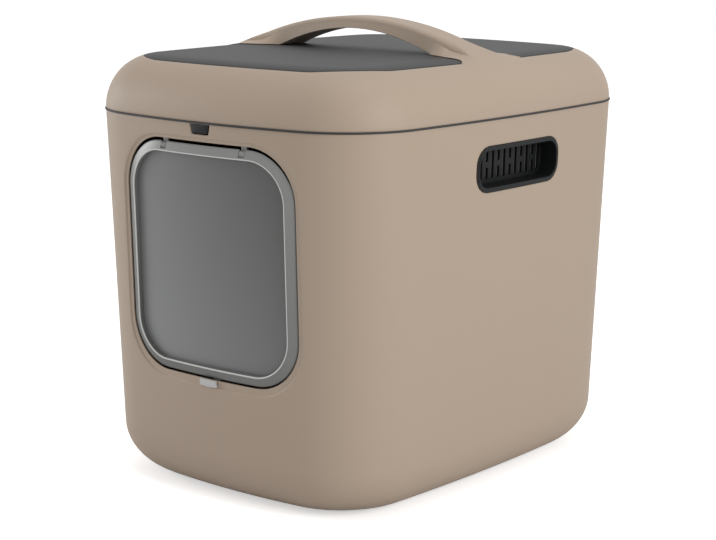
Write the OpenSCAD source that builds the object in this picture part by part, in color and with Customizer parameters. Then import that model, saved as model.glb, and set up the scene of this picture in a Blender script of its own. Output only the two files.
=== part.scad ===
// Covered litter box: a moulded tub with a swing flap, under a hinged lid with a carry handle.
// The front wall with the flap faces -Y. Sizes are in millimetres.

/* [Body] */
// Width of the tub at the seam
body_w = 400; // [370:1:430]
// Depth of the tub at the seam, front to back
body_d = 505; // [470:1:540]
// Height of the seam between tub and lid
seam_z = 388.6; // [370:0.1:420]
// Radius of the upright corners at the seam
corner_r = 88.6; // [75:0.1:95]
// Lean of the walls, which narrow towards the floor, in degrees
draft = 1.95; // [1:0.05:3]
// Radius of the outward bow of the front and back walls
front_bow_r = 790; // [700:10:1500]
// Radius of the outward bow of the side walls
side_bow_r = 2200; // [1500:10:4000]
// How fast the corner radius shrinks as the walls lean in
corner_fade = 0.34; // [0.2:0.01:1]
// Radius of the rounding between wall and floor
base_round = 52; // [30:1:60]
// Wall thickness of the tub
wall = 3; // [2.6:0.1:4]
// Thickness of the tub's floor
floor_t = 4; // [3:0.1:6]
// Depth of the shallow recess under the floor, inside the foot ring
foot_recess = 1.5; // [0.5:0.1:2]
// Width of the foot ring that the tub stands on
foot_ring_w = 16; // [8:1:30]

/* [Lid] */
// Wall thickness of the lid's outer frame
frame_t = 2.8; // [2.2:0.1:3.6]
// Radius of the lid's rounded shoulder
shoulder_r = 55; // [48:1:62]
// Upright band of the lid below its shoulder
lid_band = 0.5; // [0.2:0.1:3]
// Thickness of the dark lip in the seam
lip_t = 1.8; // [1.2:0.1:3]
// How far the dark lip stands out of the walls
lip_proud = 1; // [0.4:0.1:2]
// Margin between the lid's side and the dark top panel
panel_margin_x = 36.4; // [30:0.1:42]
// Margin between the lid's front or back and the dark top panel
panel_margin_y = 35.3; // [30:0.1:42]
// Corner radius of the opening round the top panel
panel_corner_r = 70; // [50:1:80]
// Gap between the top panel and the frame
panel_gap = 1; // [0.6:0.1:1.5]
// Wall thickness of the lid's inner shell
inner_t = 2.4; // [1.8:0.1:3]
// Space between the frame and the inner shell
inner_gap = 0.4; // [0.3:0.1:0.8]
// Depth of the skirt that drops inside the tub
skirt_depth = 8; // [5:0.5:12]
// Space between the skirt and the tub's wall
skirt_gap = 1.3; // [0.8:0.1:2]

/* [Handle] */
// Height of the handle's crown above the top panel
handle_rise = 35.2; // [30:0.1:45]
// Radius at the crown of the handle's upper curve
handle_top_r = 375; // [350:5:400]
// Thickness of the handle at its crown
handle_t = 12; // [10:0.5:14]
// Radius at the crown of the handle's lower curve
handle_under_r = 240; // [220:5:260]
// Width of the handle at its crown
handle_w = 40; // [32:1:50]
// Extra width on each side where the handle runs out into the lid
handle_flare = 22; // [15:1:30]
// Rounding of the panel's tip between the handle and the panel's side
tip_r = 9; // [4:1:12]
// Rounding of the handle's edges
handle_edge_r = 4; // [2:0.5:5]
// Place of the handle's crown behind the middle of the lid
handle_y = 2; // [0:1:10]
// How much further back the handle's feet stand
foot_shift = 3; // [0:1:12]

/* [Flap] */
// Width of the flap over its rim
flap_w = 225; // [200:1:235]
// Height of the flap over its rim
flap_h = 236.6; // [200:0.1:245]
// Drop from the seam to the flap's top edge
flap_drop = 21.6; // [20:0.1:30]
// Outer corner radius of the flap
flap_r = 52; // [40:1:60]
// Gap round the flap
flap_gap = 1.3; // [1:0.1:2]
// Extra gap above the flap, where its top edge turns
flap_top_gap = 1.2; // [0.9:0.1:1.5]
// Width of the flap's rim
rim_w = 11; // [9:0.5:14]
// Depth of the flap's rim behind the wall's outer face
rim_depth = 8; // [7.8:0.1:10]
// How far the rim's crest stands in front of the wall
rim_crest = 1; // [0:0.1:1.5]
// How far the rim's outer edge lies behind the wall's outer face
rim_set = 1.5; // [0.5:0.1:2.5]
// Thickness of the flap's window
window_t = 2.4; // [1.6:0.1:3]
// Depth of the window's face behind the wall's outer face
window_set = 5; // [4:0.1:5.2]
// Clearance round the window in its rebate
window_gap = 0.3; // [0.2:0.1:0.5]
// Width of the sunk band in the wall round the flap
band_w = 6.5; // [4:0.5:10]
// Height of the sunk band below the flap
band_low = 9; // [8.5:0.1:12]
// Depth of the sunk band
band_depth = 1.4; // [0.6:0.1:1.8]

/* [Flap hinge and lock] */
// Distance of each hinge lug from the middle
lug_x = 53; // [40:1:56]
// Width of a hinge lug
lug_w = 7; // [5:0.5:9]
// Gap at each side of a hinge lug
lug_gap = 0.4; // [0.3:0.1:0.6]
// Radius of a flap pin
flap_pin_r = 1.25; // [1:0.05:1.5]
// Length of a flap pin beyond each side of its lug
flap_pin_reach = 6; // [4:0.5:8]
// Running clearance round every pin
pin_gap = 0.05; // [0.02:0.01:0.08]
// Drop of the flap's axis below its top edge
axis_drop = 5.5; // [5:0.1:6]
// Depth of the flap's axis behind the rim's face at the lugs
axis_depth = 3.9; // [3.5:0.1:4.2]
// Width of the lock's finger plate
lock_w = 22.4; // [16:0.2:30]
// Height of the lock's finger plate
lock_h = 7.2; // [6:0.1:9]
// Travel of the lock
lock_travel = 5; // [4:0.5:6]
// Width of the lock's tongue
tongue_w = 8; // [6:0.5:10]

/* [Lid hinge and latch] */
// Distance of each lid hinge from the middle
hinge_x = 105; // [80:1:110]
// Radius of the hinge knuckles
knuckle_r = 4.5; // [4:0.1:6]
// Width of the lid's knuckle
knuckle_w = 14; // [10:0.5:20]
// Width of each of the tub's knuckles
ear_w = 9; // [6:0.5:12]
// Radius of the lid's hinge pins
hinge_pin_r = 2; // [1.5:0.1:2.5]
// Gap between neighbouring knuckles
knuckle_gap = 0.4; // [0.3:0.1:0.8]
// Width of the latch's tab at its top
latch_w = 24.8; // [20:0.2:30]
// Height of the latch's tab
latch_h = 9.1; // [8:0.1:10]
// Gap round the latch's tab in its notch
latch_gap = 0.7; // [0.5:0.1:1.2]
// Radius of the latch's pin
latch_pin_r = 1; // [0.8:0.1:1.2]

/* [Side grips] */
// Length of a side grip
grip_w = 144; // [120:1:160]
// Height of a side grip
grip_h = 47; // [42:0.5:54]
// Corner radius of a side grip
grip_r = 19; // [15:0.5:21]
// Place of the grips' middle behind the middle of the tub
grip_y = 8; // [0:1:15]
// Drop from the seam to a grip's top edge
grip_drop = 26.6; // [24:0.2:34]
// Width of the grip's rim
grip_rim = 4.6; // [4:0.1:6]
// Depth of the grip's pocket
grip_depth = 22; // [18:0.5:26]
// Width of the vent slots, and of the bars between them
slot_w = 5; // [4:0.5:6]
// Height of the long vent slots
slot_h = 29; // [24:0.5:32]
// Height of the bridge in every second column of slots
bridge_h = 6; // [4:0.5:8]
// Thickness of the odour filter pad
filter_t = 8; // [5:0.5:12]

/* [Hidden] */

// Colours
taupe = [0.66, 0.58, 0.51];
anthracite = [0.27, 0.27, 0.28];
near_black = [0.13, 0.135, 0.14];
pale_grey = [0.68, 0.69, 0.68];
smoke_grey = [0.42, 0.42, 0.42];
off_white = [0.86, 0.85, 0.83];
steel = [0.72, 0.73, 0.75];
charcoal = [0.08, 0.08, 0.08];

// Fineness of the moulded shells and of the round cuts
side_steps = 2;
corner_steps = 9;
front_steps = 3;
round_steps = 8;
big_fn = 480;
fine_fn = 36;

// Levels of the seam
rim_z = seam_z - lip_t / 2;
lid_z = seam_z + lip_t / 2;
shoulder_z = lid_z + lid_band;
top_z = shoulder_z + shoulder_r;

// Lid hinge: its axis lies just outside the lip at the back
hinge_clear = 0.5;
hinge_axis_y = body_d / 2 + lip_proud + hinge_clear;
// The model stands with the middle of its outline over the origin
frame_y = -(hinge_clear + knuckle_r) / 2;

// Bowed, rounded rectangle ----------------------------------------------------------------

// Centre of a corner arc that touches the side arc and the back arc from inside.
function corner_centre(hx, hy, r) =
    let (back_c = [0, hy - front_bow_r], side_c = [hx - side_bow_r, 0])
    let (back_reach = front_bow_r - r, side_reach = side_bow_r - r)
    let (span = norm(side_c - back_c), along = (side_c - back_c) / span)
    let (t = (back_reach ^ 2 - side_reach ^ 2 + span ^ 2) / (2 * span))
    let (off = sqrt(back_reach ^ 2 - t ^ 2))
    back_c + t * along + off * [along.y, -along.x];

function bearing(from, to) = atan2(to.y - from.y, to.x - from.x);

function arc_points(c, r, a0, a1, n) =
    [for (i = [0 : n - 1]) let (a = a0 + (a1 - a0) * i / n) c + r * [cos(a), sin(a)]];

// One quarter of the outline, from the middle of the right side to the middle of the back.
function quarter(hx, hy, r) =
    let (c = corner_centre(hx, hy, r))
    let (back_c = [0, hy - front_bow_r], side_c = [hx - side_bow_r, 0])
    let (a_side = bearing(side_c, c), a_back = bearing(back_c, c))
    concat(
        arc_points(side_c, side_bow_r, 0, a_side, side_steps),
        arc_points(c, r, a_side, a_back, corner_steps),
        arc_points(back_c, front_bow_r, a_back, 90, front_steps),
        [[0, hy]]);

// The whole outline, anticlockwise, from its half width, half depth and corner radius.
function outline(hx, hy, r) =
    let (q = quarter(hx, hy, r), m = len(q) - 1)
    concat(
        [for (i = [0 : m - 1]) q[i]],
        [for (i = [0 : m - 1]) [-q[m - i].x, q[m - i].y]],
        [for (i = [0 : m - 1]) [-q[i].x, -q[i].y]],
        [for (i = [0 : m - 1]) [q[m - i].x, -q[m - i].y]]);

function inset_outline(d, r) = outline(body_w / 2 - d, body_d / 2 - d, r);
function level(points, z) = [for (p = points) [p.x, p.y, z]];

// A closed skin over a list of rings that all have the same number of points.
// Rings run up the outside and down the inside; an open skin gets flat caps at both ends.
module skin(rings, ring_shaped = false) {
    m = len(rings[0]);
    n = len(rings);
    last = ring_shaped ? n - 1 : n - 2;
    points = [for (ring = rings) each ring];
    sides = [for (j = [0 : last], k = [0 : m - 1])
        let (a = j * m + k, a1 = j * m + (k + 1) % m)
        let (b = (j + 1) % n * m + k, b1 = (j + 1) % n * m + (k + 1) % m)
        each [[a, b, b1], [a, b1, a1]]];
    start_cap = [[for (k = [0 : m - 1]) k]];
    end_cap = [[for (k = [0 : m - 1]) n * m - 1 - k]];
    polyhedron(points, ring_shaped ? sides : concat(sides, start_cap, end_cap), convexity = 10);
}

// Rounded rectangle about its middle, as points.
function rounded_points(w, h, r, steps = round_steps) =
    [for (q = [0 : 3], i = [0 : steps])
        let (a = 90 * q + 90 * i / steps)
        let (c = [(q == 0 || q == 3 ? 1 : -1) * (w / 2 - r), (q < 2 ? 1 : -1) * (h / 2 - r)])
        c + r * [cos(a), sin(a)]];

// Tub -------------------------------------------------------------------------------------

// Inward shift of the leaning walls at a height.
function lean(z) = (seam_z - z) * tan(draft);
// A ring of the tub: drop is the lean and rounding, thick is the depth below the outer face.
function tub_ring(drop, thick, z) =
    level(inset_outline(drop + thick, corner_r - corner_fade * drop - thick), z);

floor_steps = 6;
inner_round = base_round - wall;

module tub_shell() {
    outer = [for (i = [0 : floor_steps])
        let (a = 90 * i / floor_steps, z = base_round * (1 - cos(a)))
        tub_ring(lean(z) + base_round * (1 - sin(a)), 0, z)];
    inner = [for (i = [floor_steps : -1 : 0])
        let (a = 90 * i / floor_steps, z = floor_t + inner_round * (1 - cos(a)))
        tub_ring(lean(z) + inner_round * (1 - sin(a)), wall, z)];
    rim = [tub_ring(lean(rim_z), 0, rim_z), tub_ring(lean(rim_z), wall, rim_z)];
    skin(concat(outer, rim, inner));
}

// The recess under the floor, which leaves a foot ring along the edge.
module foot_cut() {
    drop = lean(0) + base_round + foot_ring_w;
    translate([0, 0, -1])
        linear_extrude(1 + foot_recess)
            polygon(inset_outline(drop, corner_r - corner_fade * drop));
}

// Front wall frame: x across, -y outwards, z up from the seam along the leaning wall.
module on_front() {
    translate([0, -body_d / 2, seam_z])
        rotate([draft, 0, 0])
            children();
}

// Right wall frame: y along, +x outwards, z up from the seam; the left wall is its mirror image.
module on_side(side) {
    mirror([side < 0 ? 1 : 0, 0, 0])
        translate([body_w / 2, 0, seam_z])
            rotate([0, draft, 0])
                children();
}

// Prism through the front wall, between two depths behind its face.
module front_prism(points, near, far) {
    translate([0, far, 0])
        rotate([90, 0, 0])
            linear_extrude(far - near)
                polygon(points);
}

// Prism through the side wall, between two depths behind its face.
module side_prism(points, near, far) {
    translate([-far, 0, 0])
        rotate([90, 0, 90])
            linear_extrude(far - near)
                polygon(points);
}

// Everything behind the front wall's bowed face, less a depth.
module behind_front(depth) {
    reach = flap_drop + flap_h + 60;
    translate([0, front_bow_r, -reach])
        cylinder(r = front_bow_r - depth, h = reach, $fn = big_fn);
}

// Everything behind the side wall's bowed face, less a depth.
module behind_side(depth) {
    reach = grip_drop + grip_h + 20;
    translate([-side_bow_r, 0, -reach])
        cylinder(r = side_bow_r - depth, h = reach, $fn = big_fn);
}

function front_bow(x) = front_bow_r - sqrt(front_bow_r ^ 2 - x ^ 2);

function shifted(points, x, z) = [for (p = points) p + [x, z]];

flap_mid_z = -flap_drop - flap_h / 2;
// Outline of the doorway, which is a little higher than the flap's top edge needs.
doorway = shifted(
    rounded_points(flap_w + 2 * flap_gap, flap_h + 2 * flap_gap + flap_top_gap, flap_r + flap_gap),
    0, flap_mid_z + flap_top_gap / 2);
band_outline = shifted(
    rounded_points(flap_w + 2 * band_w, flap_h + band_w + band_low, flap_r + band_w),
    0, flap_mid_z + (band_w - band_low) / 2);

module band_cut() {
    on_front()
        difference() {
            front_prism(band_outline, -5, 12);
            behind_front(band_depth);
        }
}

// Axis of the flap, in the front wall's frame.
axis_z = -flap_drop - axis_drop;
axis_y = front_bow(lug_x) + axis_depth;

// Seats on the inside of the front wall for the two hinge lugs.
lug_pad_w = lug_w + 14;
lug_seat_t = 2.4;
lug_pad_y = front_bow(lug_x + lug_pad_w / 2 + 1) + wall + 0.3;
lug_pad_top = -skirt_depth - lip_t / 2 - 3;
lug_pad_low = axis_z + 8.4;
module lug_seats() {
    on_front()
        for (side = [-1, 1])
            translate([side * lug_x - lug_pad_w / 2 - 1, lug_pad_y - lug_seat_t, lug_pad_low])
                cube([lug_pad_w + 2, lug_seat_t, lug_pad_top - lug_pad_low]);
}

// Lock: finger plate outside, stem through the wall, plate inside, and a tongue further in. Slid
// up, the finger plate and the tongue hold the flap's lower bar between them.
flap_low = -flap_drop - flap_h;
lock_top = flap_low - 1;
lock_slack = 0.3;
lock_out = 1.7;
stem_w = 8;
stem_h = 4;
stem_top = flap_low - lock_travel - lock_slack;
stem_low = stem_top - stem_h;
lock_seat_y = wall + 0.5;
tongue_t = 2.4;
tongue_gap = 3.3;
tongue_y = rim_depth + tongue_gap;
plate_y = lock_seat_y + lock_slack;
tongue_top = flap_low - flap_gap;
tongue_low = stem_low - 5;

module lock_seat() {
    on_front()
        translate([-lock_w / 2 - 3, lock_seat_y - 1.6, tongue_low - 3])
            cube([lock_w + 6, 1.6, tongue_top - tongue_low + 3]);
}

module lock_slot() {
    on_front()
        translate([-stem_w / 2 - lock_slack, -5, stem_low - lock_slack])
            cube([stem_w + 2 * lock_slack, 14, stem_h + lock_travel + 2 * lock_slack]);
}

// Notch in the rim for the latch's tab, with a chamfer on its outer edge.
latch_low_w = latch_w - 3.6;
latch_top = rim_z - 0.4;
notch_low = latch_top - latch_h - latch_gap - 0.6;
function notch_points(grow) =
    let (top = latch_w / 2 + latch_gap + grow, low = latch_low_w / 2 + latch_gap + grow)
    [[-top, rim_z + 1], [-low, notch_low - grow], [low, notch_low - grow], [top, rim_z + 1]];
notch_chamfer = 0.8;
module latch_notch() {
    front_y = -body_d / 2;
    for (cut = [[0, wall + 4], [notch_chamfer, notch_chamfer]])
        translate([0, front_y + cut[1], 0])
            rotate([90, 0, 0])
                linear_extrude(cut[1] + 4)
                    polygon(notch_points(cut[0]));
}

// Shallow groove on the inside of the front wall that the latch's bead clicks into.
bead_r = 0.6;
wing_w = latch_w + 7;
bead_z = latch_top - latch_h + 1.6;
bead_y = -body_d / 2 + lean(bead_z) + wall + 0.35;
module bead_groove() {
    translate([-wing_w / 2 - 1, bead_y, bead_z])
        rotate([0, 90, 0])
            cylinder(r = bead_r + 0.2, h = wing_w + 2, $fn = 24);
}

// Grip outlines, in the side wall's frame: y along, z up.
grip_mid_z = -grip_drop - grip_h / 2;
grip_seat = 2.4;
grip_wall = 2;
fit_gap = 0.3;
rebate_depth = 1.2;
bezel_proud = 0.5;
function grip_outline(inset) =
    shifted(rounded_points(grip_w - 2 * inset, grip_h - 2 * inset, grip_r - inset), grip_y, grip_mid_z);

module grip_cuts() {
    for (side = [-1, 1])
        on_side(side) {
            side_prism(grip_outline(grip_seat), -5, 12);
            difference() {
                side_prism(grip_outline(-fit_gap), -5, 6);
                behind_side(rebate_depth);
            }
        }
}

// Hinge knuckles on the back of the tub, two at each hinge.
module along_x(x, w) {
    translate([x, 0, 0])
        rotate([90, 0, 90])
            linear_extrude(w)
                children();
}

// Place of the back wall's outer face at a distance from the middle.
function back_face(x) = body_d / 2 - front_bow(x);
ear_root = 13;
hinge_row = knuckle_w + 2 * knuckle_gap + 2 * ear_w;
module ear_profile(root_y) {
    translate([hinge_axis_y, seam_z])
        circle(r = knuckle_r, $fn = fine_fn);
    polygon([
        [hinge_axis_y, seam_z - knuckle_r], [hinge_axis_y, seam_z],
        [hinge_axis_y - knuckle_r, rim_z - 0.4], [root_y, rim_z - 0.4],
        [root_y, seam_z - ear_root]]);
}

function ear_starts(x) =
    [x - knuckle_w / 2 - knuckle_gap - ear_w, x + knuckle_w / 2 + knuckle_gap];

module tub_ears() {
    for (side = [-1, 1], start = ear_starts(side * hinge_x))
        along_x(start, ear_w)
            ear_profile(back_face(start + ear_w / 2) - wall / 2);
}

module hinge_bores() {
    for (side = [-1, 1])
        translate([side * hinge_x, hinge_axis_y, seam_z])
            rotate([0, 90, 0])
                cylinder(r = hinge_pin_r + pin_gap, h = hinge_row + 20, center = true, $fn = fine_fn);
}

module base_tub() {
    color(taupe)
        difference() {
            union() {
                tub_shell();
                lug_seats();
                lock_seat();
                tub_ears();
            }
            foot_cut();
            band_cut();
            on_front()
                front_prism(doorway, -5, 14);
            lock_slot();
            latch_notch();
            bead_groove();
            grip_cuts();
            hinge_bores();
        }
}

// Lid -------------------------------------------------------------------------------------

// Distance of a plan point inside the lid's outline.
lid_corner = corner_centre(body_w / 2, body_d / 2, corner_r);
lid_back_c = [0, body_d / 2 - front_bow_r];
lid_side_c = [body_w / 2 - side_bow_r, 0];
lid_side_a = bearing(lid_side_c, lid_corner);
lid_back_a = bearing(lid_back_c, lid_corner);
function edge_distance(point) =
    let (p = [abs(point.x), abs(point.y)])
    let (a = bearing(lid_corner, p), from_corner = norm(p - lid_corner))
    let (from_side = side_bow_r - norm(p - lid_side_c), from_back = front_bow_r - norm(p - lid_back_c))
    a > lid_side_a && a < lid_back_a ? corner_r - from_corner : min(from_side, from_back);

// Height of the lid's domed skin at a distance from its edge.
function dome(d) =
    d >= shoulder_r ? top_z : shoulder_z + sqrt(shoulder_r ^ 2 - (shoulder_r - max(d, 0)) ^ 2);

// A ring of the lid's shoulder, at an angle round the shoulder and a depth below its skin.
function shoulder_ring(a, depth) =
    let (d = shoulder_r - (shoulder_r - depth) * cos(a), z = shoulder_z + (shoulder_r - depth) * sin(a))
    level(inset_outline(d, corner_r - d), z);

// A ring of the lid's crown: a rounded outline inside the side margins, laid on the dome.
function crown_ring(grow, r, depth) =
    let (points = outline(body_w / 2 - panel_margin_x - grow, body_d / 2 - panel_margin_y - grow, r))
    [for (p = points) [p.x, p.y, dome(edge_distance(p)) - depth]];

shoulder_angles = [0, 10, 20, 30, 41, 52, 62];

// Carry handle: stations along x, each a rounded bar across y.
handle_end = body_w / 2 - 18;
handle_foot = body_w / 2 - panel_margin_x;
handle_merge = 30;
handle_stations = 28;
flare_from = 0.57;
flare_to = 0.94;
crown_power = 10;
tip_power = 40;
foot_clear = 0.4;

function side_dome(x) = dome(body_w / 2 - abs(x));
function ease(t) = let (u = min(max(t, 0), 1)) u * u * (3 - 2 * u);
// Share by which the last stretch dips under the lid's skin.
function handle_sink(x) = max(0, (abs(x) - handle_end + 5) / 5);
// Upper curve, eased down onto the lid's shoulder near its ends.
function handle_top(x) =
    let (arch = top_z + handle_rise - x ^ 2 / (2 * handle_top_r))
    let (t = (abs(x) - handle_end + handle_merge) / handle_merge)
    side_dome(x) + (arch - side_dome(x)) * (1 - ease(t)) - frame_t * 0.7 * handle_sink(x);
// Lower curve: free arch, then just above the panel, then inside the frame's wall.
function handle_low(x) =
    let (arch = top_z + handle_rise - handle_t - x ^ 2 / (2 * handle_under_r))
    abs(x) > handle_foot - 0.2 ? side_dome(x) - frame_t * (0.9 + 0.25 * handle_sink(x))
        : max(arch, side_dome(x) + foot_clear);
function foot_share(x) = min(abs(x) / handle_foot, 1);
// Half widths: the lower edge flares early, and the upper edge only close to the foot.
function handle_low_half(x) =
    handle_w / 2 + handle_flare * ease((foot_share(x) - flare_from) / (flare_to - flare_from))
    + tip_r * foot_share(x) ^ tip_power;
function handle_top_half(x) = handle_w / 2 + (handle_flare - 2) * foot_share(x) ^ crown_power;
function handle_mid(x) = handle_y + foot_shift * foot_share(x) ^ 3;

// Cross-section of the handle in the plane across x, anticlockwise seen from +x.
function handle_section(x) =
    let (low = handle_low(x), top = max(handle_top(x), low + 0.2))
    let (y = handle_mid(x), low_h = handle_low_half(x), h = handle_top_half(x))
    let (r = min(handle_edge_r, (top - low) * 0.6), c = min(r, 1.5) / 2)
    [
        [x, y + low_h - c, low], [x, y + low_h, low + c],
        for (a = [0 : 30 : 90]) [x, handle_y + h - r * (1 - cos(a)), top - r * (1 - sin(a))],
        for (a = [90 : -30 : 0]) [x, handle_y - h + r * (1 - cos(a)), top - r * (1 - sin(a))],
        [x, y - low_h, low + c], [x, y - low_h + c, low]
    ];

module handle() {
    reach = handle_foot - 0.3;
    free = [for (i = [1 : handle_stations - 1]) reach * (2 * i / handle_stations - 1)];
    ends = [handle_end, handle_end - 5, handle_end - 10, handle_foot + 0.3,
        reach, reach - 1.2, reach - 3.2, reach - 7];
    stations = concat([for (x = ends) -x], free, [for (i = [len(ends) - 1 : -1 : 0]) ends[i]]);
    skin([for (x = stations) handle_section(x)]);
}

module lid_frame() {
    outer = [for (a = shoulder_angles) shoulder_ring(a, 0)];
    inner = [for (i = [len(shoulder_angles) - 1 : -1 : 0]) shoulder_ring(shoulder_angles[i], frame_t)];
    color(taupe)
        difference() {
            union() {
                skin(concat(
                    [level(inset_outline(0, corner_r), lid_z)],
                    outer,
                    [crown_ring(0, panel_corner_r, 0)],
                    [crown_ring(0, panel_corner_r, frame_t)],
                    inner,
                    [level(inset_outline(frame_t, corner_r - frame_t), lid_z)]), true);
                handle();
            }
            hinge_relief();
        }
}

// Room in the frame's back edge for the arms of the lid's knuckles.
arm_h = 6;
module hinge_relief() {
    for (side = [-1, 1])
        translate([side * hinge_x - knuckle_w / 2 - 0.3, back_face(hinge_x) - 10, lid_z - 1])
            cube([knuckle_w + 0.6, 20, arm_h + 1.3]);
}

inner_depth = frame_t + inner_gap;
skirt_inset = wall + skirt_gap + 0.3;
skirt_low = rim_z - skirt_depth;

arm_root_y = back_face(hinge_x) - inner_depth - 2.2;
module arm_profile() {
    translate([hinge_axis_y, seam_z])
        circle(r = knuckle_r, $fn = fine_fn);
    polygon([
        [hinge_axis_y, seam_z + knuckle_r], [hinge_axis_y - knuckle_r, lid_z + arm_h],
        [arm_root_y, lid_z + arm_h], [arm_root_y, lid_z - lip_t],
        [hinge_axis_y - knuckle_r + 0.6, lid_z - lip_t], [hinge_axis_y, seam_z]]);
}

// Latch pivot, in the lid.
latch_y = -body_d / 2 + 8;
latch_z = lid_z + 7.5;
lever_w = latch_w - 0.8;
latch_ear_t = 3;
latch_ear_gap = 0.4;
latch_row = lever_w + 2 * latch_ear_gap + 2 * latch_ear_t;
barrel_r = 2.6;
latch_relief = 1.1;

module latch_ears() {
    for (side = [-1, 1])
        translate([side * (lever_w / 2 + latch_ear_gap + latch_ear_t / 2), latch_y, latch_z])
            rotate([0, 90, 0])
                linear_extrude(latch_ear_t, center = true)
                    union() {
                        circle(r = barrel_r + 1, $fn = fine_fn);
                        translate([-barrel_r, -latch_y - body_d / 2 + inner_depth + 1])
                            square([2 * barrel_r, latch_y + body_d / 2 - inner_depth - 1]);
                    }
}

module latch_room() {
    front_y = -body_d / 2;
    // Slot through the lip and the skirt for the latch's wings
    translate([-wing_w / 2 - 0.6, front_y + wall + 0.4, skirt_low - 1])
        cube([wing_w + 1.2, 7, lid_z - skirt_low + 1 + 0.4]);
    // Window in the upright wall for its lever
    translate([-lever_w / 2 - latch_ear_gap, front_y + inner_depth - 1, lid_z - 1])
        cube([lever_w + 2 * latch_ear_gap, inner_t + 3.2, latch_z + barrel_r + 2 - lid_z]);
}

module lid_inner() {
    deep = inner_depth + inner_t;
    n = len(shoulder_angles);
    under = [for (i = [n - 1 : -1 : 0]) shoulder_ring(shoulder_angles[i], deep)];
    over = [for (i = [0 : n - 2]) shoulder_ring(shoulder_angles[i], inner_depth)];
    skirt_in = skirt_inset + inner_t;
    panel_r = panel_corner_r - panel_gap;
    color(anthracite)
        difference() {
            union() {
                skin(concat(
                    [crown_ring(20, panel_corner_r - 20, inner_t)],
                    [crown_ring(9, panel_corner_r - 9, inner_t)],
                    under,
                    [level(inset_outline(skirt_in, corner_r - skirt_in), skirt_low)],
                    [level(inset_outline(skirt_inset, corner_r - skirt_inset), skirt_low)],
                    [level(inset_outline(skirt_inset, corner_r - skirt_inset), rim_z)],
                    [level(inset_outline(-lip_proud, corner_r + lip_proud), rim_z)],
                    [level(inset_outline(-lip_proud, corner_r + lip_proud), lid_z)],
                    [level(inset_outline(inner_depth, corner_r - inner_depth), lid_z)],
                    over,
                    [crown_ring(panel_gap, panel_r, inner_depth)],
                    [crown_ring(panel_gap, panel_r, 0.3)],
                    [crown_ring(9, panel_corner_r - 9, 0)],
                    [crown_ring(20, panel_corner_r - 20, 0)]));
                for (side = [-1, 1])
                    along_x(side * hinge_x - knuckle_w / 2, knuckle_w)
                        arm_profile();
                latch_ears();
            }
            hinge_bores();
            latch_room();
            translate([0, latch_y, latch_z])
                rotate([0, 90, 0])
                    cylinder(r = latch_pin_r + pin_gap, h = latch_row + 5, center = true, $fn = fine_fn);
        }
}

// Latch: tab in the notch, wings with a bead behind the wall, lever and barrel above.
module lid_latch() {
    front_y = -body_d / 2;
    tab_front = front_y + lean(latch_top) + 0.1;
    tab_back = front_y + wall + 1;
    plate_front = front_y + lean(latch_top - latch_h) + wall + 0.6;
    plate_t = 2.4;
    color(near_black)
        difference() {
            union() {
                translate([0, tab_back, 0])
                    rotate([90, 0, 0])
                        linear_extrude(tab_back - tab_front)
                            polygon([
                                [-latch_w / 2, latch_top], [-latch_low_w / 2, latch_top - latch_h],
                                [latch_low_w / 2, latch_top - latch_h], [latch_w / 2, latch_top]]);
                translate([-wing_w / 2, plate_front, latch_top - latch_h])
                    cube([wing_w, plate_t, latch_h]);
                translate([-lever_w / 2, plate_front, latch_top - latch_h])
                    cube([lever_w, plate_t, latch_z - latch_top + latch_h]);
                translate([0, latch_y, latch_z])
                    rotate([0, 90, 0])
                        cylinder(r = barrel_r, h = lever_w, center = true, $fn = fine_fn);
                translate([-lever_w / 2, plate_front + latch_relief, latch_z - barrel_r])
                    cube([lever_w, latch_y - plate_front - latch_relief, 2 * barrel_r - latch_relief]);
                for (side = [-1, 1])
                    translate([side * (wing_w / 2 - 1.4), plate_front, bead_z])
                        rotate([0, 90, 0])
                            cylinder(r = bead_r, h = 2.4, center = true, $fn = 24);
            }
            translate([0, latch_y, latch_z])
                rotate([0, 90, 0])
                    cylinder(r = latch_pin_r + pin_gap, h = latch_row + 5, center = true, $fn = fine_fn);
        }
}

module latch_pin() {
    color(steel)
        translate([0, latch_y, latch_z])
            rotate([0, 90, 0])
                cylinder(r = latch_pin_r, h = latch_row, center = true, $fn = fine_fn);
}

// A lid hinge pin with a flat head at each end of the row of knuckles.
module hinge_pin(side) {
    head_t = 1;
    color(steel)
        translate([side * hinge_x, hinge_axis_y, seam_z])
            rotate([0, 90, 0])
                union() {
                    cylinder(r = hinge_pin_r, h = hinge_row + 0.4, center = true, $fn = fine_fn);
                    for (end = [-1, 1])
                        translate([0, 0, end * (hinge_row / 2 + 0.1 + head_t / 2)])
                            cylinder(r = hinge_pin_r + 1, h = head_t, center = true, $fn = fine_fn);
                }
}

// Flap ------------------------------------------------------------------------------------

// A ring round the flap at an inset from its edge, bent to the front wall's bow.
rim_bar_steps = 6;
function rim_path(inset) =
    let (w = flap_w - 2 * inset, h = flap_h - 2 * inset, r = flap_r - inset)
    let (corners = rounded_points(w, h, r))
    let (per = round_steps + 1)
    [for (q = [0 : 3], i = [0 : per + rim_bar_steps - 2])
        let (last = corners[q * per + round_steps], next = corners[(q + 1) % 4 * per])
        i <= round_steps ? corners[q * per + i]
            : last + (next - last) * (i - round_steps) / rim_bar_steps];

function rim_ring(inset, out) =
    [for (p = rim_path(inset)) [p.x, front_bow(p.x) - out, p.y + flap_mid_z]];

// Rim section from its outer edge inwards: a slope up to a crest, a step down, a rebate behind.
crest_w = 1.6;
rebate_w = 3.6;
rim_back_round = 0.6;
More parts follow.
